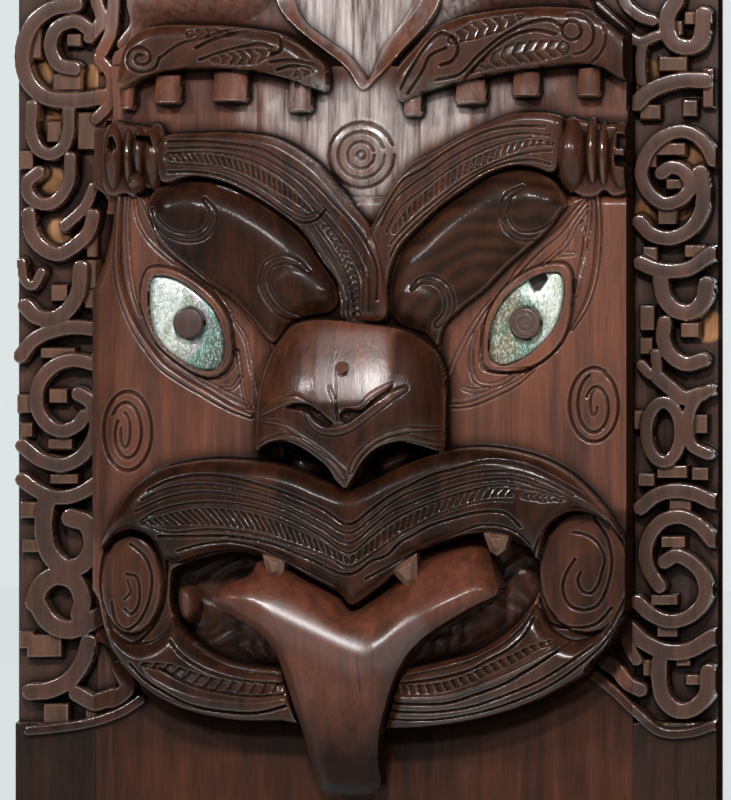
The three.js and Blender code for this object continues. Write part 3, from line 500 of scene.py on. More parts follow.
LEFT_EYE_FIELD = [
    (116, 196), (137, 196), (150, 214), (162, 247), (182, 264), (205, 282), (228, 297), (250, 321), (270, 345),
    (272, 358), (257, 392), (254, 410), (228, 404), (206, 391), (182, 377), (162, 362), (148, 345), (136, 327),
    (127, 308), (120, 284), (117, 259),
]
RIGHT_EYE_FIELD = [
    (597, 194), (585, 198), (566, 207), (551, 227), (531, 246), (508, 266), (485, 290), (462, 308), (445, 326),
    (440, 345), (444, 390), (450, 404), (470, 402), (496, 391), (517, 380), (534, 368), (553, 354), (564, 339),
    (572, 328), (582, 314), (590, 296), (596, 274), (599, 247), (599, 218),
]
EYE_BEADS = [
    # line, widths, rise
    ([(118, 196), (117, 228), (116, 259), (119, 285), (127, 312), (136, 331), (148, 349), (162, 366), (182, 380),
      (206, 394), (228, 407), (250, 416)], [4, 6, 6.5, 6.5, 6.5, 6, 4], 4.5),
    ([(127, 197), (125, 221), (127, 259), (131, 290), (139, 314)], [2, 3, 3, 2], 1.6),
    ([(133, 197), (136, 218), (146, 237), (158, 250), (172, 262)], [2, 3.5, 3.5, 2], 2.2),
    ([(140, 197), (147, 214), (160, 238), (176, 257), (190, 268), (210, 286), (229, 312)], [2, 4, 4, 3, 2], 2.4),
    ([(234, 323), (243, 337), (249, 363), (254, 389), (255, 406)], [2, 3, 2], 2.0),
    ([(235, 351), (239, 374), (243, 397), (248, 407)], [2, 3, 2], 1.8),
    ([(196, 377), (212, 386), (228, 395), (245, 403)], [2, 3, 2], 1.8),
    ([(205, 377), (220, 376), (231, 364), (235, 351)], [2, 2.5, 2], 1.4),
    ([(219, 389), (231, 388), (239, 377)], [2, 2.5, 2], 1.2),
    ([(597, 194), (598, 218), (597, 247), (594, 274), (588, 298), (580, 315), (571, 329)], [3, 5, 5.5, 5, 2], 4.0),
    ([(588, 199), (588, 221), (584, 244), (583, 256), (579, 275), (574, 296)], [2, 3.5, 3.5, 2], 2.2),
    ([(581, 222), (584, 243), (580, 262), (574, 290)], [1.5, 2.5, 2], 1.4),
    ([(587, 208), (574, 226), (566, 242), (555, 253), (542, 264)], [2, 3, 2], 1.8),
    ([(585, 199), (574, 211), (558, 231), (539, 247), (520, 267), (507, 285)], [2, 4.5, 5, 5, 3], 2.4),
    ([(489, 302), (480, 314), (470, 329), (461, 345), (450, 369), (444, 390)], [2, 4, 4, 2], 2.0),
    ([(474, 333), (470, 350), (470, 369), (474, 380), (486, 385), (501, 382), (515, 373), (528, 369)],
     [2, 3, 3, 3, 2], 1.8),
    ([(482, 326), (481, 345), (482, 366), (501, 371), (528, 369)], [2, 3, 3, 2], 1.5),
    ([(532, 370), (517, 382), (496, 393), (469, 404), (450, 406)], [2, 4.5, 4.5, 3], 3.0),
    ([(462, 388), (472, 391), (486, 388)], [2, 2.5, 2], 1.2),
    ([(558, 254), (572, 253)], [2, 2], 1.2),
]
LEFT_LID = [
    (142, 276), (147, 268), (159, 266), (176, 270), (194, 280), (213, 296), (228, 319), (232, 343), (232, 358),
    (223, 373), (209, 378), (196, 375), (176, 363), (157, 346), (147, 328), (140, 308), (139, 290),
]
RIGHT_LID = [
    (499, 292), (509, 282), (523, 272), (539, 265), (555, 262), (566, 264), (572, 276), (572, 298), (569, 322),
    (563, 339), (552, 353), (536, 365), (520, 371), (501, 372), (484, 367), (481, 345), (484, 322), (490, 306),
]


def eyes(relief):
    """Eye fields with rims and nested lines, the raised lid, and the bed for each shell."""
    fields = [(LEFT_EYE_FIELD, LEFT_LID, LEFT_SHELL), (RIGHT_EYE_FIELD, RIGHT_LID, RIGHT_SHELL)]
    for field, lid, shell in fields:
        line = photo_line(field, SEEN["eye_field"])
        part, x, z = relief.near(line, 2)
        edge = inside(line, x, z)
        relief.lay(part, CHEEK - 3.0 * quarter(edge / 6), edge)
        raise_area(relief, photo_line(lid, SEEN["eye"], closed=True), EYE_LID, shoulder=2.5)
        groove(relief, photo_line([*lid, lid[0]], SEEN["eye"]), 2.6, depth=2.6)
        sink_area(relief, photo_line(shell, SEEN["shell"], closed=True), EYE_FLOOR, shoulder=0.2)
    for line, widths, rise in EYE_BEADS:
        sunk_bead(relief, photo_line(line, SEEN["eye"]), widths, rise + 1.0, margin=3.0, depth=1.8, crown=0.6)


NOSE_ROWS = [
    # pixel row, left and right limit, height at the middle
    (316, 300, 398, 108), (322, 290, 410, 115), (330, 284, 418, 119), (345, 273, 429, 124), (360, 265, 436, 129),
    (375, 260, 440, 133), (390, 256, 443, 136), (404, 254, 444, 138), (420, 252, 445, 138), (440, 250, 446, 134),
    (456, 250, 446, 130), (472, 250, 446, 127), (492, 250, 446, 124),
]
NOSE_BASE = 98.0
POCKET_DEPTH = 7.0
NOSTRIL_FLOOR = 76.0
NOSTRILS = [
    [(283, 447), (299, 446), (316, 457), (331, 473), (324, 481), (307, 477), (292, 468), (283, 458)],
    [(365, 473), (375, 457), (392, 446), (414, 447), (420, 453), (402, 466), (380, 476)],
]
# Middle, radii in millimetres, turn
NOSTRIL_SWELLS = [((306, 467), (17, 9.5), -0.6), ((394, 461), (19, 9.5), 0.5)]
NOSE_CUT = [(334, 352), (335, 380), (336, 402), (337, 420)]
NOSE_POCKETS = [
    [(283, 408), (297, 403), (309, 404), (318, 409), (327, 417), (334, 424), (327, 428), (316, 420), (306, 412)],
    [(339, 418), (344, 410), (362, 409), (371, 400), (380, 393), (392, 386), (386, 396), (372, 406), (358, 417),
     (346, 424)],
]
NOSE_ROPES = [
    # line, widths, rise
    ([(258, 415), (269, 409), (282, 402), (296, 399), (307, 404), (318, 411)], [3, 6, 7, 7, 4], 2.6),
    ([(403, 389), (391, 396), (377, 407), (363, 418), (350, 427), (337, 431), (323, 430), (313, 423), (307, 411)],
     [5, 8, 8, 8, 8, 7, 4], 3.2),
    ([(330, 388), (334, 398), (335, 409), (337, 420)], [2, 3, 3, 2], 1.6),
    ([(347, 414), (343, 408), (361, 406), (370, 397), (380, 390), (391, 384)], [2, 3, 3, 2], 1.8),
    ([(257, 421), (282, 425), (302, 437), (319, 448), (335, 461), (347, 472)], [2, 4, 4, 4, 3], 2.0),
    ([(436, 430), (408, 430), (387, 435), (370, 445), (356, 458), (349, 472)], [2, 4, 4, 4, 3], 2.0),
    ([(255, 447), (268, 440), (286, 437), (301, 441), (318, 452), (332, 465), (342, 478)], [3, 5, 5, 5, 4], 2.2),
    ([(440, 447), (422, 442), (406, 438), (388, 441), (373, 449), (361, 462), (354, 476)], [3, 5, 5, 5, 4], 2.2),
]


def nose(relief):
    """The snout: a bulb lofted over rows, each row a flat-topped arch, with ropes, pockets and nostrils."""
    rows = np.array(NOSE_ROWS, float)
    left, right = (at(rows[:, [side, 0]], SEEN["nose_rows"]) for side in (1, 2))
    outline = photo_line(NOSE_OUTLINE, SEEN["nose"], closed=True)
    part, x, z = relief.near(outline, 3)
    order = np.argsort(left[:, 1])
    levels = left[order, 1]
    low = np.interp(z, levels, left[order, 0])
    high = np.interp(z, levels, right[order, 0])
    top = soften(np.interp(z, levels, rows[order, 3]), 8)
    share = np.clip(np.abs(2 * (x - low) / (high - low) - 1), 0, 1)
    height = NOSE_BASE + (top - NOSE_BASE) * (1 - share**3) ** 0.8
    edge = inside(outline, x, z)
    relief.lay(part, height - 3.0 * (1 - quarter(edge / 3.0)), edge)
    for pocket in NOSE_POCKETS:
        line = photo_line(pocket, SEEN["pocket"], closed=True)
        part, x, z = relief.near(line, 3)
        relief.out[part] -= POCKET_DEPTH * np.clip(inside(line, x, z) / 1.6, 0, 1)
    for line, widths, rise in NOSE_ROPES:
        sunk_bead(relief, photo_line(line, SEEN["rope"]), widths, rise + 1.2, margin=2.6, depth=1.8, crown=0.5)
    for hole in NOSTRILS:
        sink_area(relief, photo_line(hole, SEEN["nostril"], closed=True), NOSTRIL_FLOOR, shoulder=3.0)
    for centre, radii, turn in NOSTRIL_SWELLS:
        knob(relief, at([centre], SEEN["nostril"])[0], radii, base=78, top=94, turn=turn)
    groove(relief, photo_line(NOSE_CUT, SEEN["nose_cut"]), [0.6, 1.4, 1.8, 1.4], depth=1.6)


UPPER_LIP_GROOVES = [
    ([(149, 490), (171, 480), (200, 475), (231, 477), (262, 485), (290, 494), (324, 509), (350, 524), (374, 508),
      (392, 495), (413, 484), (432, 475), (459, 468), (489, 461), (524, 465), (550, 476), (583, 495)], 2.4, 2.4),
    ([(142, 500), (170, 488), (200, 484), (231, 487), (262, 494), (290, 504), (322, 519), (350, 533), (374, 517),
      (390, 504), (407, 494), (432, 485), (460, 476), (490, 471), (518, 472), (548, 482), (574, 495)], 1.8, 1.8),
    ([(136, 511), (170, 497), (200, 492), (230, 494), (262, 501), (292, 512), (322, 528), (350, 543), (374, 526),
      (390, 513), (412, 503), (432, 495), (458, 486), (486, 480), (512, 479), (540, 487), (562, 495)], 1.8, 1.8),
    ([(140, 522), (158, 511), (193, 503), (228, 503), (262, 509), (297, 522), (322, 536), (350, 553), (374, 535),
      (394, 520), (416, 509), (440, 500), (466, 492), (494, 486), (520, 487), (548, 493), (566, 500)], 1.8, 1.8),
    ([(141, 524), (160, 530), (176, 532), (211, 529), (245, 532), (279, 540), (305, 548), (331, 558), (350, 567),
      (376, 552), (396, 538), (416, 526), (440, 514), (466, 505), (490, 500), (514, 500)], 1.8, 1.8),
    ([(158, 536), (195, 536), (228, 536), (267, 542), (297, 553), (322, 564), (338, 572), (351, 574), (362, 569),
      (372, 561), (388, 555), (400, 543), (414, 535), (430, 526), (455, 518), (480, 512), (506, 513), (522, 527)],
     2.2, 2.4),
    ([(178, 551), (200, 545), (228, 542), (255, 547), (279, 557), (305, 570), (334, 585)], 2.0, 2.0),
    ([(366, 579), (388, 567), (405, 557), (428, 545), (455, 534), (478, 526), (500, 526), (518, 533), (530, 545)],
     2.0, 2.0),
]
LIP_NOTCHES = [
    ([(143, 523), (165, 520), (200, 516), (235, 518), (265, 524), (295, 535), (322, 547), (348, 560)],
     [3, 11, 15, 15, 13, 11, 9, 5], 5.6, 1.0, 2.2, False),
    ([(352, 560), (376, 544), (398, 528), (430, 511), (462, 499), (488, 493), (512, 492)],
     [5, 9, 10, 10, 10, 8], 6.4, -0.9, 2.2, False),
    ([(524, 496), (540, 497), (562, 501)], [5, 9, 2], 5.0, -1.2, 1.8, True),
]


def upper_lip(relief):
    """A gull-wing lip: a rounded ridge of parallel lines with a leaf-shaped notched row on each wing."""
    cushion(relief, photo_line(UPPER_LIP, SEEN["lip_edge"]), LIP, rise=12.0, shoulder=5.0, reach=16.0)
    cut_all(relief, groove, UPPER_LIP_GROOVES, SEEN["lip"])
    cut_all(relief, notches, LIP_NOTCHES, SEEN["lip"])


LOWER_LIP_GROOVES = [
    ([(166, 596), (170, 618), (178, 632), (189, 644), (207, 657), (229, 667), (254, 672), (284, 675)], 2.0, 2.2),
    ([(170, 640), (181, 654), (200, 667), (226, 677), (254, 682), (286, 684)], 2.4, 2.6),
    ([(160, 668), (186, 682), (207, 689), (229, 693), (254, 696), (284, 694)], 2.4, 2.8),
    ([(130, 664), (145, 680), (163, 691), (189, 705), (225, 712), (257, 713), (286, 706)], 2.6, 3.2),
    ([(110, 655), (129, 676), (150, 694), (171, 705)], 1.8, 2.0),
    ([(100, 618), (104, 634), (114, 655), (132, 675), (154, 693), (190, 708)], 1.6, 1.6),
    ([(538, 600), (530, 616), (515, 634), (497, 648), (472, 660), (441, 669), (405, 676)], 2.0, 2.2),
    ([(534, 618), (524, 636), (508, 650), (493, 658), (470, 670), (441, 678), (400, 684)], 2.4, 2.6),
    ([(570, 642), (540, 663), (506, 683), (477, 694), (447, 703), (415, 704), (390, 703)], 2.2, 3.0),
    ([(592, 646), (570, 662), (541, 680), (506, 695), (470, 707), (432, 712), (388, 711)], 2.2, 2.8),
    ([(622, 612), (606, 640), (581, 664), (549, 686), (513, 702), (477, 713), (432, 720), (386, 719)], 2.0, 2.6),
]
LOWER_NOTCHES = [
    ([(143, 664), (168, 668), (186, 675), (207, 682), (229, 686), (252, 689), (284, 688)],
     [3, 9, 11, 11, 10, 8], 9.6, -0.55, 2.8, False),
    ([(393, 689), (415, 689), (441, 687), (463, 681), (481, 673), (499, 665), (515, 658), (532, 649), (556, 640)],
     [7, 8, 8, 8, 7, 3], 7.3, 0.3, 2.6, False),
]
LOWER_BEADS = [
    ([(144, 666), (150, 678), (163, 687), (184, 697), (207, 703), (236, 706), (261, 706), (284, 701)],
     [3, 7, 8, 8, 7], 1.6),
    ([(391, 697), (415, 698), (447, 696), (477, 687), (506, 676), (531, 664), (552, 652), (571, 643)],
     [4, 4.5, 5, 5, 2], 2.4),
]


def lower_lip(relief):
    """The lower lip's two halves: ridges round the mouth, a row of slanted tabs and broad outer bands."""
    for outline in (LEFT_LOWER_LIP, RIGHT_LOWER_LIP):
        line = photo_line(outline, SEEN["jaw_edge"])
        cushion(relief, line, LOWER_LIP, rise=11.0, shoulder=5.0, reach=16.0)
    cut_all(relief, groove, LOWER_LIP_GROOVES, SEEN["jaw"])
    cut_all(relief, notches, LOWER_NOTCHES, SEEN["jaw"])
    cut_all(relief, bead, LOWER_BEADS, SEEN["jaw"])


TONGUE_GAP = 2.6  # clear width round the tongue, in millimetres


def mouth(relief):
    """The open mouth: a floor roughened by two crossed sine waves, with a gap cut round the tongue."""
    outline = photo_line(MOUTH, SEEN["jaw_edge"], closed=True)
    sink_area(relief, outline, MOUTH_FLOOR, shoulder=5.0)
    part, x, z = relief.near(outline, 2)
    chops = np.sin(x / 4.1 + 2.4 * np.sin(z / 9.0)) * np.sin(z / 5.3 + 2.6 * np.sin(x / 13.0) + 0.11 * x)
    relief.out[part] += 1.1 * chops * np.clip(inside(outline, x, z) / 4 - 1, 0, 1)
    tongue_line = photo_line(TONGUE_OUTLINE, SEEN["lip_edge"])
    part, x, z = relief.near(tongue_line, 6)
    edge = inside(tongue_line, x, z) + TONGUE_GAP
    floor = np.where(z < at([CHIN], CHEEK)[0, 1], CHEST, MOUTH_FLOOR)
    relief.lay(part, np.minimum(relief.out[part], floor), edge)


# Middle, half-width, height over width
SPIRAL_PADS = [((131, 584), 31, 1.62), ((587, 572), 49, 1.26)]
SPIRAL_GROOVES = [
    ([(149, 532), (163, 549), (165, 577), (161, 607), (149, 630), (131, 644), (114, 635), (103, 612), (99, 584),
      (103, 553), (117, 535)], 2.4, 2.4),
    ([(131, 544), (145, 556), (152, 574), (149, 602), (138, 623), (126, 630), (117, 623), (112, 602)], 2.6, 2.6),
    ([(127, 574), (137, 577), (140, 591), (138, 607), (131, 614), (125, 609)], 2.4, 2.4),
    ([(128, 580), (131, 592), (124, 600)], 2.0, 2.0),
    ([(570, 513), (554, 522), (541, 543), (535, 562), (537, 589), (543, 612), (550, 624), (573, 628), (596, 624),
      (612, 608)], 2.6, 2.6),
    ([(575, 559), (566, 574), (563, 589), (570, 605), (585, 610), (598, 605), (608, 585), (612, 562), (608, 539),
      (594, 517)], 2.6, 2.6),
    ([(581, 572), (578, 580), (583, 591), (591, 593), (598, 585), (602, 572), (605, 559), (598, 543), (585, 534),
      (573, 532)], 2.4, 2.4),
    ([(610, 520), (623, 543), (629, 574), (625, 597), (612, 624), (602, 637)], 2.0, 2.2),
    (spiral((126, 431), 24, 24, -0.55, 1.0, 1.65), 3.4, 2.6),
    (spiral((125, 433), 17, 11, -0.40, 1.0, 1.9), 3.0, 2.6),
    (spiral((123, 432), 6, 4, -0.25, 0.8, 3.2), 2.6, 2.2),
    (spiral((593, 405), 25, 24, -0.18, -1.0, 1.5), 3.0, 2.8),
    (spiral((594, 406), 19, 10, -0.30, -1.1, 1.7), 3.0, 2.6),
    (spiral((593, 404), 4, 3, -0.25, -0.7, 3.4), 2.4, 2.0),
]


def spirals(relief):
    """Flat spirals at the corners of the mouth and on the cheeks, cut as one groove each."""
    for centre, radius, stretch in SPIRAL_PADS:
        raise_area(relief, at(oval(centre, radius, stretch), CORNER_PAD), CORNER_PAD, shoulder=4.0)
    cut_all(relief, groove, SPIRAL_GROOVES, SEEN["scroll"])


EAR_PLATES = [
    [(103, 130), (112, 122), (130, 124), (148, 127), (162, 134), (164, 160), (162, 182), (150, 189), (140, 186),
     (134, 197), (124, 194), (112, 197), (103, 190)],
    [(556, 126), (566, 118), (584, 120), (600, 124), (616, 124), (629, 130), (630, 160), (630, 190), (612, 196),
     (604, 191), (596, 196), (584, 197), (570, 190), (558, 172)],
]
EAR_LOBES = [
    # centre, half-width and half-height in pixels, top height
    ((112, 157), (10, 35), 102), ((127, 158), (6, 33), 101), ((138, 152), (7, 26), 104),
    ((153, 157), (12, 33), 105), ((134, 182), (10, 11), 101),
    ((570, 154), (16, 36), 107), ((591, 152), (7, 34), 103), ((602, 155), (6, 33), 101),
    ((619, 157), (12, 34), 100),
]
EAR_HOLES = [
    [(107, 138), (112, 137), (116, 146), (112, 152), (107, 148)],
    [(616, 134), (625, 134), (625, 148), (616, 147)],
    [(614, 156), (624, 156), (625, 166), (615, 165)],
    [(134, 136), (149, 137), (153, 146), (146, 142), (136, 140)],
]


def ears(relief):
    """Clustered lobes at the temples, each a half ellipsoid, with small dark slots."""
    for plate in EAR_PLATES:
        raise_area(relief, photo_line(plate, SEEN["ear"], closed=True), EAR, shoulder=4.0)
    for centre, (half_width, half_height), top in EAR_LOBES:
        radii = (half_width * 0.9, half_height * 0.88)
        knob(relief, at([centre], SEEN["lobe"])[0], radii, base=80, top=top)
    for hole in EAR_HOLES:
        sink_area(relief, at(hole, SEEN["lobe"]), CHEEK, shoulder=1.0)


LEFT_FOOT = [
    (118, 88), (124, 45), (140, 29), (164, 24), (189, 24), (228, 25), (253, 28), (275, 32), (295, 41), (312, 54),
    (324, 66), (323, 90), (291, 80), (259, 72), (228, 69), (180, 69), (148, 75),
]
RIGHT_FOOT = [
    (399, 101), (393, 87), (395, 70), (412, 49), (430, 30), (456, 17), (489, 10), (526, 6), (563, 6), (591, 10),
    (619, 24), (634, 46), (636, 76), (619, 78), (597, 66), (569, 64), (541, 67), (508, 71), (464, 80), (423, 91),
]
TOES = [
    # left, right, upper and lower limit
    (121, 134, 80, 110), (154, 180, 74, 104), (212, 247, 70, 102), (288, 311, 80, 112),
    (404, 421, 88, 116), (455, 485, 78, 104), (512, 539, 70, 97), (577, 600, 66, 97),
]
FOOT_GROOVES = [
    ([(196, 48), (212, 40), (240, 32), (266, 32), (279, 38), (281, 50), (272, 55)], 2.2, 2.6),
    ([(160, 58), (180, 44), (205, 37), (232, 28)], 1.8, 1.6),
    ([(199, 60), (222, 52), (246, 46), (262, 44), (272, 48)], 1.8, 2.0),
    ([(282, 36), (300, 46), (318, 62)], 1.8, 2.0),
    ([(270, 62), (290, 60), (316, 64)], 1.8, 2.2),
    ([(276, 70), (292, 66), (310, 68)], 1.8, 2.2),
    ([(400, 89), (415, 63), (430, 41), (441, 33), (454, 39), (458, 50), (452, 61), (441, 65)], 2.2, 2.6),
    ([(407, 94), (422, 72), (430, 56), (446, 48)], 2.0, 2.4),
    ([(436, 80), (460, 74), (478, 56), (501, 37), (526, 24), (550, 20), (562, 26)], 2.0, 2.4),
    ([(462, 80), (476, 66), (492, 50), (512, 36), (536, 30), (556, 34)], 2.0, 2.4),
    (spiral((141, 58), 18, 3, 0.0, 1.8, 0.9), 2.0, 2.0),
    (spiral((572, 30), 10, 9, 0.0, 1.0, 1.0), 1.8, 1.8),
    (spiral((574, 34), 20, 20, -0.3, 0.55, 1.0), 1.8, 1.6),
    (spiral((576, 36), 30, 30, -0.25, 0.5, 1.0), 1.8, 1.4),
]
FOOT_NOTCHES = [
    ([(190, 34), (205, 33), (232, 34)], [8, 11, 4], 8.0, 0.9, 2.6, True),
    ([(214, 60), (232, 58), (256, 56), (274, 52)], [6, 14, 15, 4], 8.2, 0.9, 2.4, True),
    ([(452, 40), (476, 30), (500, 24), (522, 16)], [8, 16, 14, 4], 8.5, 0.9, 2.6, True),
    ([(470, 72), (490, 62), (515, 54), (545, 50), (562, 48)], [4, 14, 20, 20, 14], 9.5, -0.7, 2.6, True),
    ([(294, 84), (300, 74), (312, 72)], [6, 10, 4], 7.0, 0.8, 2.4, True),
]


def feet(relief):
    """The upper figure's feet: arched bands with chevrons and spirals, and half-round toes that rise to their tips."""
    for x0, x1, y0, y1 in TOES:
        corners = [(x0, y0), (x1, y0), (x1 + 1, y1 - 4), (x1 - 2, y1), (x0 + 2, y1), (x0 - 1, y1 - 4)]
        outline = at(corners, SEEN["toe"])
        part, x, z = relief.near(outline, 2)
        low, high = outline.min(0), outline.max(0)
        across = np.clip(np.abs(2 * (x - low[0]) / (high[0] - low[0]) - 1), 0, 1)
        down = np.clip((high[1] - z) / (high[1] - low[1]), 0, 1)
        edge = inside(outline, x, z)
        height = FOREHEAD + 4 + 9 * down + 9 * np.sqrt(1.05 - across**2) - 1.2 * (1 - quarter(edge / 1.5))
        relief.lay(part, height, edge)
    for outline in (LEFT_FOOT, RIGHT_FOOT):
        line = photo_line(outline, SEEN["foot_edge"], closed=True)
        cushion(relief, line, FOOT, rise=7.0, shoulder=3.0, reach=12.0)
    for line, width, depth in FOOT_GROOVES:
        groove(relief, photo_line(line, SEEN["foot"]), width + 0.8, depth + 0.6)
    cut_all(relief, notches, FOOT_NOTCHES, SEEN["foot"])


V_WEDGE = [(296, -60), (296, 0), (306, 22), (331, 42), (350, 56), (364, 74), (369, 80), (384, 46), (401, 24),
           (414, 0), (414, -60)]
V_BEVEL = [(274, -60), (276, 0), (283, 14), (299, 31), (323, 50), (346, 68), (363, 90), (378, 78), (406, 48),
           (428, 24), (441, 0), (441, -60)]
THIGHS = [
    [(60, -120), (290, -120), (276, -10), (250, 14), (210, 20), (150, 20), (100, 34), (60, 50)],
    [(430, -120), (680, -120), (680, 40), (630, 26), (590, 8), (540, 0), (480, 6), (440, 14), (428, -4)],
]
BEVEL_TOP, BEVEL_SLOPE, BEVEL_WIDTH = 82.0, 0.55, 16.0
FOREHEAD_DISC = (361, 155)
FOREHEAD_RINGS = [(33, 3.0), (23.5, 2.8), (13.5, 2.6), (4, 2.4)]  # radii in pixels, widths in millimetres


def crown(relief):
    """Smooth thighs above the feet and the sharp V between them, its bevel sloping down to a light wedge."""
    for thigh in THIGHS:
        swell(relief, photo_line(thigh, SEEN["thigh"], closed=True), rise=22.0, reach=30.0)
    bevel = photo_line(V_BEVEL, SEEN["bevel"])
    part, x, z = relief.near(bevel, 2)
    edge = inside(bevel, x, z)
    relief.lay(part, BEVEL_TOP - BEVEL_SLOPE * np.clip(edge, 0, BEVEL_WIDTH), edge)
    wedge = photo_line(V_WEDGE, WEDGE)
    part, x, z = relief.near(wedge, 2)
    relief.lay(part, np.full(x.shape, WEDGE), inside(wedge, x, z))
    swell(relief, at(oval(FOREHEAD_DISC, 36), FOREHEAD), rise=3.0, reach=16.0)
    for radius, width in FOREHEAD_RINGS:
        groove(relief, at(oval(FOREHEAD_DISC, radius), FOREHEAD + 2), width, depth=2.4)


# Corners of the centre board that the borders' bands run on into
CORNERS = [
    [(85, -60), (136, -60), (137, 20), (130, 44), (117, 56), (118, 92), (116, 126), (102, 130), (100, 150),
     (100, 186), (113, 200), (109, 230), (103, 258), (96, 278), (85, 284)],
    [(594, -60), (660, -60), (660, 128), (636, 122), (634, 60), (636, 44), (616, 28), (598, 12)],
    [(85, 640), (106, 648), (122, 668), (142, 698), (122, 716), (100, 722), (85, 722)],
    [(650, 590), (634, 606), (616, 642), (592, 672), (613, 692), (638, 716), (660, 734)],
]


def corners(relief):
    """The four corners sunk to the borders' ground, with the bands and bars that cross the seam."""
    for corner in CORNERS:
        sink_area(relief, photo_line(corner, SEEN["corner"], closed=True), BORDER_GROUND + 4, shoulder=1.0)
    lay_bands(relief, LEFT_BARS + RIGHT_BARS, LEFT_STROKES + RIGHT_STROKES)


def centre_relief():
    """The whole centre board, carved in the order that its forms overlap."""
    relief = Relief((-SEAM + 0.3, SEAM - 0.3), (-HALF_HEIGHT, HALF_HEIGHT), CHEST)
    for form in (base_forms, mounds, eyes, nose, brows, ears, upper_lip, lower_lip, spirals, mouth, crown, feet,
                 corners):
        form(relief)
    shade_areas(relief)
    return relief


# Areas and strengths
POLISH_AREAS = [
    ([(392, 692), (470, 692), (556, 646), (574, 654), (480, 716), (392, 718)], 0.8),
    ([(320, 322), (392, 324), (398, 400), (326, 404)], 1.5),
    ([(80, -60), (650, -60), (650, 10), (560, 4), (480, 8), (420, 40), (366, 60), (300, 36), (270, 22), (200, 22),
      (80, 36)], 0.8),
    ([(262, 76), (470, 76), (470, 120), (398, 170), (376, 205), (350, 205), (318, 160), (262, 104)], 0.7),
]
# Pale areas: dry wood and a painted sheen, on the thighs, beside the bevel, on the V and on the forehead's middle
DRY_AREAS = [
    ([(80, -60), (296, -60), (296, 6), (270, 22), (200, 22), (130, 28), (80, 40)], 0.1),
    ([(414, -60), (650, -60), (650, 10), (560, 4), (480, 8), (430, 26), (400, 50)], 0.12),
    ([(424, 34), (444, 4), (446, -60), (500, -60), (478, 4), (452, 18)], 0.75),
    (V_WEDGE, 0.8),
    ([(300, 80), (420, 90), (480, 100), (470, 124), (420, 150), (398, 170), (376, 205), (350, 205), (318, 160),
      (280, 130), (262, 104)], 0.66),
    ([(240, 84), (560, 84), (520, 106), (430, 140), (376, 214), (345, 205), (290, 146), (236, 124)], 0.34),
]
# Darkened areas: stain on the wood, except the nose's two flanks, which are painted shade
STAIN_AREAS = [
    (LEFT_BROW, 0.95), (RIGHT_BROW, 0.7), (LEFT_MOUND, 1.0), (RIGHT_MOUND, 0.95), (UPPER_LIP, 1.0), (MOUTH, 0.7),
    (LEFT_LOWER_LIP, 0.9), (RIGHT_LOWER_LIP, 0.9), (LEFT_FOOT, 0.8), (RIGHT_FOOT, 0.7),
    ([(80, 120), (165, 120), (165, 195), (80, 195)], 0.8), ([(552, 115), (650, 115), (650, 194), (552, 194)], 0.8),
    ([(80, 690), (650, 690), (650, 870), (80, 870)], 0.7), ([(95, 530), (170, 530), (170, 650), (95, 650)], 0.6),
    ([(536, 510), (640, 510), (640, 640), (536, 640)], 0.7), ([(250, 400), (446, 400), (446, 492), (250, 492)], 0.85),
    # the nose's right and left flanks: painted shade
    ([(398, 330), (446, 330), (446, 420), (398, 420)], 0.9), ([(250, 330), (300, 320), (318, 420), (250, 420)], 0.5),
    ([(85, 196), (116, 196), (118, 300), (112, 420), (100, 540), (85, 540)], 0.55),
]


# Tone, areas, height at which they are seen, and margin, width of the edge and softness in millimetres
TINTS = [
    ("dry", DRY_AREAS, FOREHEAD, 12, 3, 6), ("stain", STAIN_AREAS, SEEN["shade"], 8, 2, 3),
    ("polish", POLISH_AREAS, SEEN["shade"], 8, 2, 3),
]


def shade_areas(relief):
    """Where the wood is pale (dry wood and a painted sheen), darkened (stain, and painted shade on the nose's flanks),
    polished, and where it shows its rings.
    """
    for name, areas, out, margin, fade, softness in TINTS:
        for outline, amount in areas:
            line = at(outline, out)
            part, x, z = relief.near(line, margin)
            relief.tint(name, part, soften(np.clip(inside(line, x, z) / fade + 0.5, 0, 1), softness) * amount)
    disc = at(oval(FOREHEAD_DISC, 38), FOREHEAD)
    part, x, z = relief.near(disc, 4)
    relief.tone["dry"][part] *= 1 - 0.6 * np.clip(inside(disc, x, z) / 4, 0, 1)
    for x0, x1, y0, y1 in TOES:
        part = relief.near(at([(x0, y0), (x1, y1)], SEEN["toe_shade"]), 1)[0]
        relief.tone["dry"][part] *= 0.3
    line = photo_line(RIGHT_MOUND, SEEN["mound"], closed=True)
    part, x, z = relief.near(line, 6)
    relief.tone["ring"][part] = np.clip(inside(line, x, z) / 3, 0, 1)


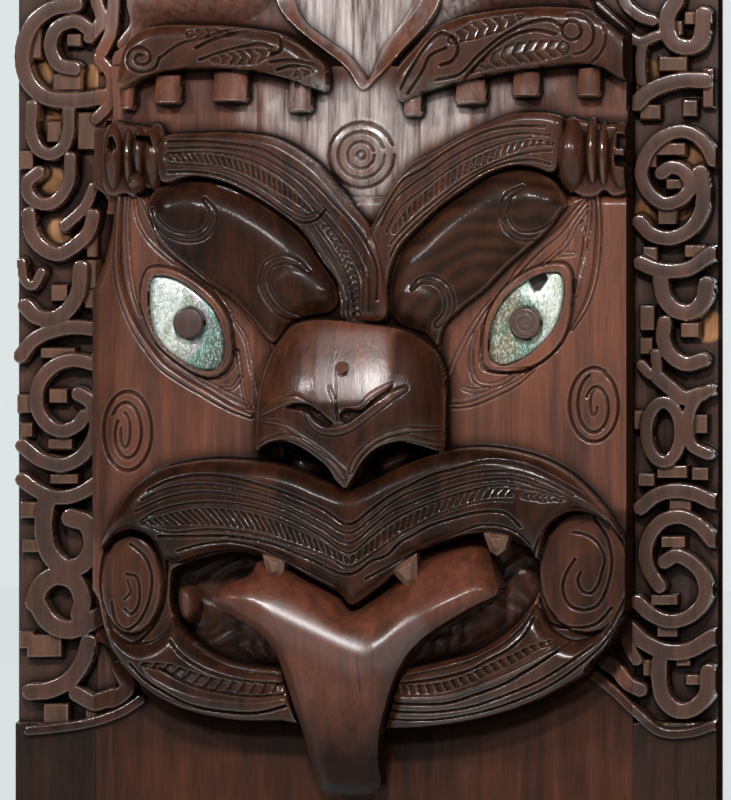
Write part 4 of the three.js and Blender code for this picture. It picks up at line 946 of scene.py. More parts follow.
# Lines and widths of the borders' bands
LEFT_STROKES = [
    ([(106, 96), (75, 100), (45, 97), (27, 80), (22, 52), (31, 25), (50, 9), (75, 4)], 11.5),
    ([(90, 30), (75, 21), (56, 28), (50, 46), (58, 64), (74, 68)], 10),
    ([(31, 106), (31, 133), (38, 149), (50, 154), (63, 146), (68, 130), (68, 111)], 9),
    ([(70, 158), (68, 182), (56, 200), (42, 204), (29, 196), (27, 182), (38, 172)], 9),
    ([(28, 214), (31, 234), (43, 249), (58, 254), (75, 245), (88, 232), (93, 216)], 10.5),
    ([(93, 188), (84, 207), (64, 226)], 8),
    ([(21, 262), (24, 280), (32, 286), (41, 272)], 6),
    ([(25, 306), (35, 316), (50, 319), (66, 311), (77, 294), (80, 268)], 11.5),
    ([(20, 356), (33, 340), (52, 331), (75, 327), (99, 330)], 10.5),
    ([(99, 366), (73, 360), (52, 367), (38, 385), (37, 408), (47, 425), (62, 431), (77, 425), (84, 416)], 10),
    ([(78, 394), (90, 402), (96, 420), (92, 441), (80, 457), (62, 465), (40, 460), (22, 446)], 10.5),
    ([(22, 480), (34, 489), (52, 497), (68, 497), (84, 491), (97, 482)], 10.5),
    ([(46, 500), (43, 525), (48, 552), (64, 568), (82, 564), (92, 545), (86, 524), (70, 518)], 14),
    ([(34, 603), (40, 586), (56, 576), (74, 582), (82, 600), (79, 614)], 14),
    ([(38, 606), (48, 622), (67, 630), (86, 624), (100, 616)], 14),
    ([(30, 692), (50, 690), (70, 679), (83, 660), (88, 643)], 12.5),
    ([(76, 694), (95, 703), (112, 696)], 11.5),
    ([(28, 731), (58, 728), (93, 722), (121, 712), (140, 700)], 6),
    ([(100, 700), (114, 699), (127, 687), (119, 668)], 11.5),
    ([(93, -12), (97, 4), (101, 19), (89, 37)], 9),
    ([(113, -12), (113, 8), (110, 33), (101, 52)], 9),
    ([(131, -12), (132, 4), (135, 24), (122, 44)], 8),
    ([(98, 58), (110, 74), (108, 104), (96, 118)], 8),
]
RIGHT_STROKES = [
    ([(676, 0), (668, 14), (667, 30), (674, 43), (688, 47), (698, 43), (702, 30), (703, 14)], 11.5),
    ([(636, 103), (648, 92), (665, 84), (683, 80), (704, 80)], 11.5),
    ([(713, 160), (706, 146), (696, 136), (682, 131), (668, 134), (655, 142), (645, 156), (641, 175), (648, 192),
      (664, 203), (682, 198), (690, 186), (684, 172), (671, 167), (661, 173)], 9.5),
    ([(700, 172), (703, 195), (700, 214), (690, 229), (670, 238), (651, 234), (639, 222)], 10.5),
    ([(640, 263), (655, 269), (672, 271), (690, 268), (711, 253)], 10.5),
    ([(660, 280), (664, 298), (675, 310), (690, 312), (702, 302), (706, 284)], 11.5),
    ([(664, 323), (663, 340), (671, 356), (686, 364), (702, 360)], 10.5),
    ([(641, 365), (650, 374), (656, 371), (655, 354)], 7),
    ([(658, 378), (670, 388), (684, 398), (700, 394)], 10.5),
    (list(spiral((663, 432), 17, 17, 0.25, 1.0, 1.75)), 8.5),
    ([(709, 390), (697, 397), (689, 412), (687, 430), (692, 446), (707, 454)], 8),
    ([(640, 508), (655, 496), (672, 491), (692, 493), (712, 502)], 10.5),
    ([(712, 541), (698, 525), (680, 517), (662, 521), (649, 536), (645, 556), (650, 573), (659, 586)], 10),
    ([(664, 562), (675, 556), (690, 562), (702, 576), (705, 594), (698, 609), (684, 619), (667, 621), (650, 614),
      (637, 602)], 10),
    ([(625, 625), (645, 643), (668, 652), (690, 650), (712, 637)], 11.5),
    ([(659, 662), (659, 682), (664, 700), (678, 711), (694, 708), (706, 694), (708, 672)], 11.5),
    ([(594, 676), (613, 691), (637, 714), (660, 732), (690, 733), (712, 726)], 6),
    ([(624, 634), (630, 650), (636, 660)], 8),
    ([(604, 662), (616, 670), (628, 684), (640, 690)], 10),
    ([(596, 6), (618, 26), (638, 41), (658, 35)], 7),
    ([(620, -12), (626, 4), (640, 16), (652, 20)], 8),
    ([(642, 46), (640, 62), (641, 80)], 7),
]
# Bars left between the strokes: middle, width and height in pixels
LEFT_BARS = [
    (36, 41, 8, 32), (67, 82, 26, 14), (90, 139, 22, 18), (54, 132, 12, 18), (92, 121, 26, 14), (59, 293, 14, 14),
    (92, 299, 12, 16), (94, 274, 14, 26), (58, 353, 32, 8), (64, 479, 26, 8), (30, 546, 14, 10), (44, 646, 32, 20),
    (56, 714, 22, 18), (102, 711, 30, 14), (92, 243, 8, 26), (106, 66, 12, 10), (112, 112, 10, 16), (34, 112, 10, 12),
    (26, 160, 12, 16), (74, 40, 12, 10), (24, 404, 12, 16), (26, 430, 10, 12), (58, 396, 16, 12), (60, 444, 22, 8),
    (28, 510, 14, 14), (26, 640, 12, 14),
]
RIGHT_BARS = [
    (673, 64, 26, 12), (650, 112, 18, 12), (690, 108, 12, 14), (671, 149, 26, 10), (667, 217, 16, 12),
    (650, 254, 12, 12), (695, 251, 18, 10), (647, 318, 12, 22), (672, 472, 28, 10), (680, 507, 20, 12),
    (673, 542, 22, 9), (664, 600, 24, 8), (667, 632, 18, 8), (650, 668, 12, 14), (708, 88, 8, 36), (642, 92, 10, 14),
    (676, 28, 10, 12), (690, 18, 8, 10), (650, 160, 10, 12), (674, 184, 14, 8), (690, 330, 16, 12), (646, 346, 10, 14),
    (700, 424, 12, 16), (640, 420, 10, 16), (646, 480, 14, 10), (700, 474, 14, 10), (694, 680, 14, 8),
    (683, 660, 12, 10),
]
# Rubbed patches of the ground: middle and radius in pixels
LEFT_RAW = [(38, 72, 10), (60, 110, 16), (52, 180, 8), (97, 80, 10), (90, 120, 14), (66, 455, 8), (60, 232, 8)]
RIGHT_RAW = [(646, 73, 9), (694, 158, 9), (682, 207, 8), (647, 214, 9), (708, 326, 10), (690, 180, 7)]
PLAIN_FOOT = [(0, 722), (731, 722), (731, 900), (0, 900)]

BAR_GROWTH = 2.0  # how far each bar reaches beyond its listed size, in pixels
BAR_RAW = 0.09  # how much raw wood the bars show
BAND_GROWTH = 3.6  # how much wider each band is at its foot than at its top, in millimetres
BOX_CORNERS = [(-1, -1), (1, -1), (1, 1), (-1, 1)]


def lay_bands(relief, bars, strokes):
    """Redder bars, then bands over them, each band a bevel wider at its foot than the width of its top."""
    for x, y, width, height in bars:
        half_width, half_height = width / 2 + BAR_GROWTH, height / 2 + BAR_GROWTH
        box = at([(x + i * half_width, y + j * half_height) for i, j in BOX_CORNERS], BORDER_BAR)
        raise_area(relief, box, BORDER_BAR, shoulder=1.6)
        part, px, pz = relief.near(box, 2)
        relief.tint("raw", part, BAR_RAW * (inside(box, px, pz) > 0.8))
    for line, width in strokes:
        band = photo_line(line, BORDER_BAND)
        part, px, pz = relief.near(band, width)
        relief.tone["raw"][part] *= np.abs(along(band, px, pz)[0]) > (width + BAND_GROWTH) / 2
        stroke(relief, band, width + BAND_GROWTH, BORDER_BAND)


def border_relief(side):
    """A side board: bands in loops and spirals over a sunk ground, with bars between and a plain lower end."""
    x_range = (SEAM, HALF_WIDTH) if side > 0 else (-HALF_WIDTH, -SEAM)
    bars, strokes, raw = (RIGHT_BARS, RIGHT_STROKES, RIGHT_RAW) if side > 0 else (LEFT_BARS, LEFT_STROKES, LEFT_RAW)
    relief = Relief(x_range, (-HALF_HEIGHT, HALF_HEIGHT), BORDER_GROUND)
    foot = at(PLAIN_FOOT, CHEST)
    raise_area(relief, foot, CHEST, shoulder=1.5)
    part, x, z = relief.near(foot, 2)
    relief.tone["stain"][part] = 0.7 * np.clip(inside(foot, x, z) / 3 + 0.5, 0, 1)
    lay_bands(relief, bars, strokes)
    for x, y, radius in raw:
        line = at(oval((x, y), radius * 1.6), BORDER_GROUND)
        part, px, pz = relief.near(line, 6)
        low = np.clip((BORDER_BAR - relief.out[part]) / 4, 0, 1)
        relief.tint("raw", part, np.clip(inside(line, px, pz) / 3 + 0.5, 0, 1) * low)
    return relief


def surface_tones(relief):
    """How far each place lies below the average within 4 mm (hollow) and 16 mm (deep), or above it within 2.4 mm."""
    small, near, wide = (soften(relief.out, reach) for reach in (2.4, 4.0, 16.0))
    return {
        "hollow": np.clip((near - relief.out) / 2.0, 0, 1),
        "deep": np.clip((wide - relief.out) / 12.0, 0, 1),
        "crest": np.clip((relief.out - small) / 0.5, 0, 1),
        **relief.tone,
    }


def make_object(name, points, loop_starts, loop_corners, smooth_faces, tones=None):
    """A mesh object in metres from points in (x, out, z) millimetres and faces as corner lists."""
    mesh = bpy.data.meshes.new(name)
    mesh.vertices.add(len(points))
    flat = np.stack([points[:, 0], -points[:, 1], points[:, 2]], axis=-1) * MM
    mesh.vertices.foreach_set("co", flat.ravel().astype(np.float32))
    mesh.loops.add(len(loop_corners))
    mesh.loops.foreach_set("vertex_index", loop_corners.astype(np.int32))
    mesh.polygons.add(len(loop_starts))
    mesh.polygons.foreach_set("loop_start", loop_starts.astype(np.int32))
    mesh.update(calc_edges=True)
    mesh.polygons.foreach_set("use_smooth", smooth_faces)
    for key, values in (tones or {}).items():
        layer = mesh.attributes.new(key, "FLOAT", "POINT")
        layer.data.foreach_set("value", values.astype(np.float32).ravel())
    obj = bpy.data.objects.new(name, mesh)
    bpy.context.scene.collection.objects.link(obj)
    return obj


def surface_normals(relief):
    """The front's normal at each place: (-slope along x, -1, -slope along z), made unit length."""
    slope_z, slope_x = np.gradient(relief.out, relief.z, relief.x)
    normal = np.stack([-slope_x, -np.ones_like(slope_x), -slope_z], axis=-1)
    return normal / np.linalg.norm(normal, axis=-1, keepdims=True)


def quads(index):
    """The four corners of every cell of a grid of point numbers, counter-clockwise from the front."""
    return np.stack([index[:-1, :-1], index[:-1, 1:], index[1:, 1:], index[1:, :-1]], axis=-1).reshape(-1, 4)


def strip(first, second):
    """Quads between two rows of point numbers, turning outwards when first runs with the outside on its right."""
    return np.stack([first[1:], first[:-1], second[:-1], second[1:]], axis=-1)


SLOT_WALL = 0.4  # the step over which a slot's end wall falls, to either side of the end
# The flat back takes the deep tone at 0.45, which darkens it towards the painted-shade colour, and a little raw wood
BACK_TONES = {"deep": 0.45, "raw": 0.12}


def board_piece(name, relief, rows, tones, normals):
    """Some rows of a board as a closed solid: the carved front, a flat back with the batten slots, and four sides."""
    z = relief.z[rows]
    front_x, front_z = np.meshgrid(relief.x, z)
    low, high = relief.x[0], relief.x[-1]
    ends = [e for e in (-SLOT_HALF_LENGTH, SLOT_HALF_LENGTH) if low < e < high]
    columns = sorted([low, high] + [e + s * SLOT_WALL for e in ends for s in (-1, 1)])
    back_x, back_z = np.meshgrid(np.array(columns), z)
    slot = (np.abs(np.abs(back_z) - SLOT_Z) < SLOT_HALF_HEIGHT) & (np.abs(back_x) < SLOT_HALF_LENGTH)
    front = np.stack([front_x, relief.out[rows], front_z], axis=-1)
    back = np.stack([back_x, np.where(slot, SLOT_DEPTH, 0.0), back_z], axis=-1)
    points = np.vstack([front.reshape(-1, 3), back.reshape(-1, 3)])
    f = np.arange(front_x.size).reshape(front_x.shape)
    b = front_x.size + np.arange(back_x.size).reshape(back_x.shape)
    carved = quads(f)
    faces = np.vstack([carved, quads(b)[:, ::-1], strip(f[::-1, 0], b[::-1, 0]), strip(f[:, -1], b[:, -1])])
    bottom = np.concatenate([b[0], f[0, ::-1]])
    top = np.concatenate([f[-1], b[-1, ::-1]])
    corners = np.concatenate([faces.ravel(), bottom, top])
    starts = np.concatenate([np.arange(len(faces)) * 4, [faces.size, faces.size + len(bottom)]])
    smooth = np.arange(len(starts)) < len(carved)
    values = {
        key: np.concatenate([field[rows].ravel(), np.full(back_x.size, BACK_TONES.get(key, 0.0))])
        for key, field in tones.items()
    }
    obj = make_object(name, points, starts, corners, smooth, values)
    loops = np.zeros((len(corners), 3))
    loops[:carved.size] = normals[rows].reshape(-1, 3)[corners[:carved.size]]
    obj.data.normals_split_custom_set(loops)
    return obj


def block_piece(name, x, z, edge, front, back, tones=None):
    """A closed solid over the places where edge is positive: front and back faces, its rim pulled to the outline."""
    cell = x[0, 1] - x[0, 0]
    slope_z, slope_x = np.gradient(edge, cell)
    keep = edge > -0.6 * cell
    cells = keep[:-1, :-1] & keep[:-1, 1:] & keep[1:, 1:] & keep[1:, :-1]
    numbers = np.arange(x.size).reshape(x.shape)
    faces = quads(numbers)[cells.ravel()]
    used, faces = np.unique(faces, return_inverse=True)
    faces = faces.reshape(-1, 4)
    first, second = faces.ravel(), np.roll(faces, -1, axis=1).ravel()
    keys, reverse = first * len(used) + second, second * len(used) + first
    rim = ~np.isin(keys, reverse)
    first, second = first[rim], second[rim]
    place = np.stack([x.ravel()[used], z.ravel()[used]], axis=-1)
    steep = np.stack([slope_x.ravel()[used], slope_z.ravel()[used]], axis=-1)
    steep /= np.maximum(np.linalg.norm(steep, axis=1, keepdims=True), 1e-6)
    pull = np.zeros(len(used))
    pull[first] = -edge.ravel()[used][first]
    place += np.clip(pull, -cell, cell)[:, None] * steep
    count = len(used)
    points = np.vstack([
        np.column_stack([place[:, 0], front.ravel()[used], place[:, 1]]),
        np.column_stack([place[:, 0], back.ravel()[used], place[:, 1]]),
    ])
    walls = np.stack([second, first, first + count, second + count], axis=-1)
    whole = np.vstack([faces, faces[:, ::-1] + count, walls])
    smooth = np.arange(len(whole)) < len(faces)
    values = {key: np.tile(field.ravel()[used], 2) for key, field in (tones or {}).items()}
    return make_object(name, points, np.arange(len(whole)) * 4, whole.ravel(), smooth, values)


def place_grid(outline, cell, margin=2.0):
    """A square grid of places over an outline and a margin round it."""
    low, high = outline.min(0) - margin, outline.max(0) + margin
    x = np.arange(low[0], high[0] + cell, cell)
    z = np.arange(low[1], high[1] + cell, cell)
    return np.meshgrid(x, z)


def finish_piece(obj, material, slot, *nodes):
    """Material, body and the solids that the piece stands for, which are hidden; slot is not used."""
    obj.data.materials.append(material)
    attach(obj, "root")
    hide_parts(*nodes)
    return obj


TONGUE_PROFILE = [
    # pixel row on the middle line, height
    (540, 78), (575, 88), (600, 102), (620, 115), (638, 125), (655, TONGUE), (680, 128), (710, 122), (740, 114),
    (770, 104), (800, 96),
]
TONGUE_MIDDLE = (366, 640)
TONGUE_BENDS = (0.47, 0.95)  # how fast the rows climb to the left and to the right of the middle
BEND_ROUNDING = 8.0
BEND_REACH = 34.0  # how far to the right the rows climb, in millimetres
BEND_FOOT = -300.0  # below this the rows are level
EDGE_ROUND, EDGE_DROP = 16.0, 15.0  # how far in, and how deep, the tongue's edge is rounded
# Below this height the tongue darkens: darker wood and painted shade on the down-turned stem
STAIN_TOP = -238.0
TONGUE_SOFTNESS = 34  # rounds of averaging
STEM_TOP = (348, 690)
# Lines and widths
SHEENS = [([(283, 613), (318, 636), (358, 655)], 13), ([(382, 657), (398, 643), (412, 627)], 9)]
CRACKS = [([(361, 636), (360, 662), (362, 690)], 1.3), ([(322, 790), (346, 788), (371, 783)], 2.2)]


def tongue_piece():
    """The tongue: a height that follows the distance down from a V-shaped bend, rounded off towards its outline."""
    outline = photo_line(TONGUE_OUTLINE, SEEN["lip_edge"])
    x, z = place_grid(outline, 0.9)
    edge = inside(outline, x, z)
    rows = np.array(TONGUE_PROFILE, float)
    levels = at(np.column_stack([np.full(len(rows), float(CHIN[0])), rows[:, 0]]), SEEN["tongue_rows"])[:, 1]
    middle = at([TONGUE_MIDDLE], SEEN["tongue_middle"])[0, 0]
    away = np.sqrt((x - middle) ** 2 + BEND_ROUNDING**2) - BEND_ROUNDING
    left, right = TONGUE_BENDS
    lift = np.where(x < middle, left * away, right * BEND_REACH * np.tanh(away / BEND_REACH))
    profile = smooth_line(np.column_stack([levels, rows[:, 1]])[::-1], step=1.0)
    order = np.argsort(profile[:, 0])
    top = np.interp(z - lift * np.clip((z - BEND_FOOT) / 60, 0, 1), profile[order, 0], profile[order, 1])
    near_edge = 1 - np.clip(edge / EDGE_ROUND, 0, 1)
    top = soften_grid(top - EDGE_DROP * near_edge**2.2, TONGUE_SOFTNESS)
    stem = z < at([STEM_TOP], SEEN["stem"])[0, 1]
    back = np.where(stem, np.maximum(top - 26, CHEST + 8), MOUTH_FLOOR)
    top = np.maximum(top, back + 4)
    # Painted shade along the tongue's rounded edge; the cracks are drawn as dark lines in the same tone
    hollow = np.clip(near_edge * 1.2 - 0.6, 0, 1)
    for line, width in CRACKS:
        far = np.abs(along(photo_line(line, SEEN["crack"]), x, z)[0])
        hollow = np.maximum(hollow, np.clip(1.2 - far / width, 0, 1))
    sheen = np.zeros_like(top)
    for line, reach in SHEENS:
        far = np.abs(along(photo_line(line, SEEN["sheen"]), x, z)[0])
        sheen = np.maximum(sheen, np.clip(1.7 - far / reach, 0, 1))
    tones = dict.fromkeys(TONES, np.zeros_like(top))
    # The tongue's dark tone: a little all over, growing towards the stem's foot, there partly darker wood and partly
    # painted shade
    tones.update(hollow=hollow, stain=np.clip((STAIN_TOP - z) / 60, 0, 1) * 0.8 + 0.2, polish=0.15 + 1.5 * sheen)
    return block_piece("tongue", x, z, edge, top, back, tones)


def soften_grid(field, count):
    """A field averaged count times, each place from its four neighbours."""
    for _ in range(count):
        padded = np.pad(field, 1, mode="edge")
        field = (padded[:-2, 1:-1] + padded[2:, 1:-1] + padded[1:-1, :-2] + padded[1:-1, 2:]) / 4
    return field


# Outlines of the teeth that hang under the upper lip
TEETH = {
    "tooth_inner_left": [(262, 560), (286, 566), (283, 574), (273, 579), (268, 575)],
    "tooth_inner_right": [(390, 577), (417, 560), (418, 581), (409, 589)],
    "tooth_outer_right": [(483, 539), (510, 541), (505, 550), (497, 556), (490, 551)],
}
CORNER_TOOTH = [(178, 588), (190, 587), (197, 600), (196, 615), (188, 624), (180, 618), (176, 604)]
TOOTH_BACK = 84.0
TOOTH_TOP = 110.0
TOOTH_ROOT = 6.0  # how far a tooth runs up under the lip
TOOTH_CHAMFER = 5.0


def tooth_piece(name, outline):
    """A hanging tooth: a flat front that is chamfered all round and towards its tip."""
    line = at(outline, SEEN["tooth"])
    lifted = line + (line[:, 1:] > np.median(line[:, 1])) * np.array([[0.0, TOOTH_ROOT]])
    x, z = place_grid(lifted, 0.5)
    edge = inside(lifted, x, z)
    front = TOOTH_TOP - TOOTH_CHAMFER * (1 - np.clip(edge / TOOTH_CHAMFER, 0, 1))
    return block_piece(name, x, z, edge, front, np.full(x.shape, TOOTH_BACK))


def corner_tooth_piece():
    """The tooth in the corner of the mouth: a plate whose front rises by a quarter circle from its outline."""
    line = photo_line(CORNER_TOOTH, SEEN["corner_tooth"], closed=True)
    x, z = place_grid(line, 0.5)
    edge = inside(line, x, z)
    front = MOUTH_FLOOR + 8 + 20 * quarter(edge / 8)
    return block_piece("tooth_corner_left", x, z, edge, front, np.full(x.shape, MOUTH_FLOOR))


PEG_RADIUS = 13.0
PEG_HOLE = 13.2


def shell_piece(name, outline, peg, notch=None):
    """A sea-shell plate: slightly domed, turned down at its rim, with a round hole for the peg."""
    line = photo_line(outline, SHELL_TOP, closed=True)
    x, z = place_grid(line, 0.6)
    centre = at([peg], SHELL_TOP + 6)[0]
    reach = np.hypot(x - centre[0], z - centre[1])
    edge = np.minimum(inside(line, x, z), reach - PEG_HOLE)
    if notch is not None:
        edge = np.minimum(edge, -inside(at(notch, SHELL_TOP), x, z))
    front = SHELL_TOP - 1.5 * (1 - quarter(np.clip(edge, 0, 3) / 3)) + 1.2 * quarter(edge / 20)
    return block_piece(name, x, z, edge, front, np.full(x.shape, SHELL_BACK))


def peg_piece(name, peg, carved):
    """A round peg: rings of radius and height turned about its axis, with an optional spiral cut on its face."""
    centre = at([peg], PEG_TOP - 2)[0]
    radius = np.array([0.0, *np.linspace(0.6, PEG_RADIUS - 0.4, 22), PEG_RADIUS, PEG_RADIUS, 0.0])
    angle = np.linspace(0, 2 * np.pi, 73)[:-1]
    face = PEG_TOP - 1.2 * (radius / PEG_RADIUS) ** 2 - 1.6 * np.clip((radius - 11.6) / 1.4, 0, 1) ** 2
    out = np.repeat(face[:, None], len(angle), axis=1)
    out[-2:] = SHELL_BACK - 6
    ring_r, ring_a = np.meshgrid(radius, angle, indexing="ij")
    if carved:
        phase = np.mod(ring_r / 5.2 - ring_a / (2 * np.pi), 1.0)
        cut = np.clip(1 - np.abs(phase - 0.5) * 5, 0, 1) * (ring_r > 1.5) * (ring_r < 11.5)
        out[:-2] -= 1.1 * cut[:-2]
    points = np.stack([centre[0] + ring_r * np.cos(ring_a), out, centre[1] + ring_r * np.sin(ring_a)], axis=-1)
    rings, sectors = ring_r.shape
    index = np.arange(rings * sectors).reshape(rings, sectors)
    index[0], index[-1] = index[0, 0], index[-1, 0]
    around = np.column_stack([index, index[:, :1]])
    cells = np.stack([around[:-1, :-1], around[1:, :-1], around[1:, 1:], around[:-1, 1:]], axis=-1)
    body = cells[1:-1].reshape(-1, 4)
    fans = np.vstack([cells[0][:, [0, 1, 2]], cells[-1][:, [0, 1, 3]]])
    flat = points.reshape(-1, 3)
    used, corners = np.unique(np.concatenate([body.ravel(), fans.ravel()]), return_inverse=True)
    starts = np.concatenate([np.arange(len(body)) * 4, body.size + np.arange(len(fans)) * 3])
    return make_object(name, flat[used], starts, corners, np.ones(len(starts), bool))


def feed(tree, node, links):
    """Fills a node's sockets with values or with other nodes' sockets."""
    for socket, value in links.items():
        if isinstance(value, bpy.types.NodeSocket):
            tree.links.new(value, node.inputs[socket])
        else:
            node.inputs[socket].default_value = value


def add(tree, kind, links=None, **settings):
    """A shader node with its settings and its sockets filled."""
    node = tree.nodes.new(kind)
    for key, value in settings.items():
        setattr(node, key, value)
    feed(tree, node, links or {})
    return node


def mix(tree, share, first, second, blend="MIX"):
    """A colour mix of two colours by a share."""
    node = add(tree, "ShaderNodeMix", {0: share, 6: first, 7: second}, data_type="RGBA", blend_type=blend)
    return node.outputs[2]


def maths(tree, operation, first, second=0.5, third=None, clamp=False):
    """One operation on two or three values."""
    links = {0: first, 1: second}
    if third is not None:
        links[2] = third
    return add(tree, "ShaderNodeMath", links, operation=operation, use_clamp=clamp).outputs[0]


def noise(tree, place, scale, detail=4.0, rough=0.55, stretch=(1, 1, 1), distortion=0.0):
    """Noise on coordinates stretched by a mapping."""
    mapping = add(tree, "ShaderNodeMapping", {"Vector": place, "Scale": stretch})
    node = add(tree, "ShaderNodeTexNoise", {
        "Vector": mapping.outputs[0], "Scale": scale, "Detail": detail, "Roughness": rough,
        "Distortion": distortion,
    })
    return node.outputs["Fac"]


def spread(tree, value, low, high):
    """A value's range from low to high stretched to 0 to 1."""
    return add(tree, "ShaderNodeMapRange", {"Value": value, "From Min": low, "From Max": high}).outputs[0]


def srgb(red, green, blue):
    """A colour written as 0 to 255 on a screen, as linear light."""
    c = np.array([red, green, blue]) / 255.0
    linear = np.where(c <= 0.04045, c / 12.92, ((c + 0.055) / 1.055) ** 2.4)
    return (*linear.tolist(), 1.0)


def new_group(name, inputs, outputs):
    """A shader group with its sockets made, and its input and output nodes."""
    group = bpy.data.node_groups.new(name, "ShaderNodeTree")
    for socket, kind, value in inputs:
        made = group.interface.new_socket(socket, in_out="INPUT", socket_type=kind)
        made.default_value = value
    for socket, kind in outputs:
        group.interface.new_socket(socket, in_out="OUTPUT", socket_type=kind)
    return group, group.nodes.new("NodeGroupInput"), group.nodes.new("NodeGroupOutput")


RING_MIDDLE = (500, 390)


def waxed_wood_group():
    """Waxed wood: upright streaks and fibres between two tones; painted shade in hollows, in deep recesses and on
    sideways faces; lighter on crests for wear and as a painted highlight; pale where dry, with a painted sheen there;
    darker where stained, which in places is painted shade.
    """
    group, given, result = new_group("waxed_wood", [
        ("Light", "NodeSocketColor", srgb(112, 62, 40)), ("Dark", "NodeSocketColor", srgb(58, 31, 21)),
        *[(tone.title(), "NodeSocketFloat", 0.0) for tone in TONES],
    ], [("Color", "NodeSocketColor"), *[(key, "NodeSocketFloat") for key in ("Roughness", "Height", "Gloss", "Shine")]])
    place = add(group, "ShaderNodeTexCoord").outputs["Object"]
    streak = noise(group, place, 1.0, 6, 0.6, (95, 95, 7), 0.6)
    fibre = noise(group, place, 1.0, 4, 0.6, (700, 700, 36))
    patch = noise(group, place, 9.0, 3, 0.5)
    grain = maths(group, "MULTIPLY_ADD", streak, 0.62, maths(group, "MULTIPLY", patch, 0.38))
    tone = spread(group, grain, 0.36, 0.64)
    colour = mix(group, tone, given.outputs["Dark"], given.outputs["Light"])
    colour = mix(group, maths(group, "MULTIPLY", spread(group, fibre, 0.35, 0.7), 0.35), colour,
                 srgb(60, 32, 22), "MULTIPLY")
    centre = at([RING_MIDDLE], SEEN["ring_grain"])[0] * MM
    ring_place = add(group, "ShaderNodeMapping", {"Vector": place, "Location": (-centre[0], 0, -centre[1])})
    rings = add(group, "ShaderNodeTexWave", {
        "Vector": ring_place.outputs[0], "Scale": 22.0, "Distortion": 5.0, "Detail": 3.0, "Detail Scale": 1.0,
    }, wave_type="RINGS", rings_direction="Y")
    ring_share = maths(group, "MULTIPLY", given.outputs["Ring"], 0.75)
    ring_colour = mix(group, rings.outputs["Fac"], srgb(58, 32, 21), srgb(98, 57, 36))
    colour = mix(group, ring_share, colour, ring_colour)
    # Dry areas: pale dry wood whose bright grey streaks are also a painted sheen, where the lamps reflect off the
    # forehead, the V and the thighs
    dry_streak = noise(group, place, 1.0, 8, 0.65, (150, 150, 12), 0.4)
    dry_colour = mix(group, spread(group, dry_streak, 0.36, 0.62), srgb(66, 46, 39), srgb(196, 184, 180))
    colour = mix(group, given.outputs["Dry"], colour, dry_colour)
    # Crests lighten towards a tan, partly as wear and partly as a painted highlight
    worn = mix(group, 0.4, colour, srgb(146, 104, 80))
    colour = mix(group, maths(group, "MULTIPLY", given.outputs["Crest"], 0.35), colour, worn)
    colour = mix(group, given.outputs["Raw"], colour, mix(group, tone, srgb(128, 84, 56), srgb(196, 146, 104)))
    # The stain tone darkens by a blotchy multiply: stain on the wood, and painted shade where it is laid for that
    blotch = spread(group, noise(group, place, 1.0, 5, 0.6, (26, 26, 11), 0.8), 0.38, 0.6)
    stained = mix(group, blotch, srgb(158, 162, 156), srgb(106, 110, 106))
    colour = mix(group, given.outputs["Stain"], colour, mix(group, 1.0, colour, stained, "MULTIPLY"))
    # Painted shade: hollows and deep recesses darken towards near black; the deep tone also holds the painted shadow
    # under the chin
    wax = srgb(20, 14, 11)
    colour = mix(group, maths(group, "MULTIPLY", given.outputs["Hollow"], 0.8), colour, wax)
    colour = mix(group, maths(group, "MULTIPLY", given.outputs["Deep"], 0.85), colour, wax)
    shine = maths(group, "MULTIPLY_ADD", patch, 0.25, 0.30)
    shine = maths(group, "MULTIPLY_ADD", given.outputs["Dry"], 0.12, shine)
    shine = maths(group, "MULTIPLY_ADD", given.outputs["Raw"], 0.4, shine)
    height = maths(group, "MULTIPLY_ADD", streak, 0.6, maths(group, "MULTIPLY", fibre, 0.4))
    dull = maths(group, "MAXIMUM", given.outputs["Deep"], given.outputs["Raw"])
    normal = add(group, "ShaderNodeNewGeometry").outputs["True Normal"]
    sideways = maths(group, "ABSOLUTE", add(group, "ShaderNodeSeparateXYZ", {0: normal}).outputs["X"])
    side = maths(group, "GREATER_THAN", sideways, 0.985)
    clean = maths(group, "SUBTRACT", 1.0, maths(group, "MAXIMUM", dull, side), clamp=True)
    # Painted shade on the boards' sideways faces, which are darkened towards the same near black
    colour = mix(group, maths(group, "MULTIPLY", side, 0.7), colour, wax)
    plain = maths(group, "SUBTRACT", 1.0, given.outputs["Stain"], clamp=True)
    rubbed = maths(group, "MULTIPLY_ADD", plain, 0.2, 0.06)
    rubbed = maths(group, "MULTIPLY_ADD", given.outputs["Crest"], 1.9, rubbed)
    rubbed = maths(group, "ADD", given.outputs["Polish"], rubbed)
    sheen = maths(group, "MULTIPLY_ADD", plain, 0.2, 0.08)
    feed(group, result, {
        "Color": colour, "Roughness": shine, "Height": height, "Gloss": maths(group, "MULTIPLY", clean, rubbed),
        "Shine": maths(group, "MULTIPLY", clean, sheen),
    })
    return group


def new_material(name):
    """A material, its node tree and its shader."""
    material = bpy.data.materials.new(name)
    material.use_nodes = True
    return material, material.node_tree, material.node_tree.nodes["Principled BSDF"]


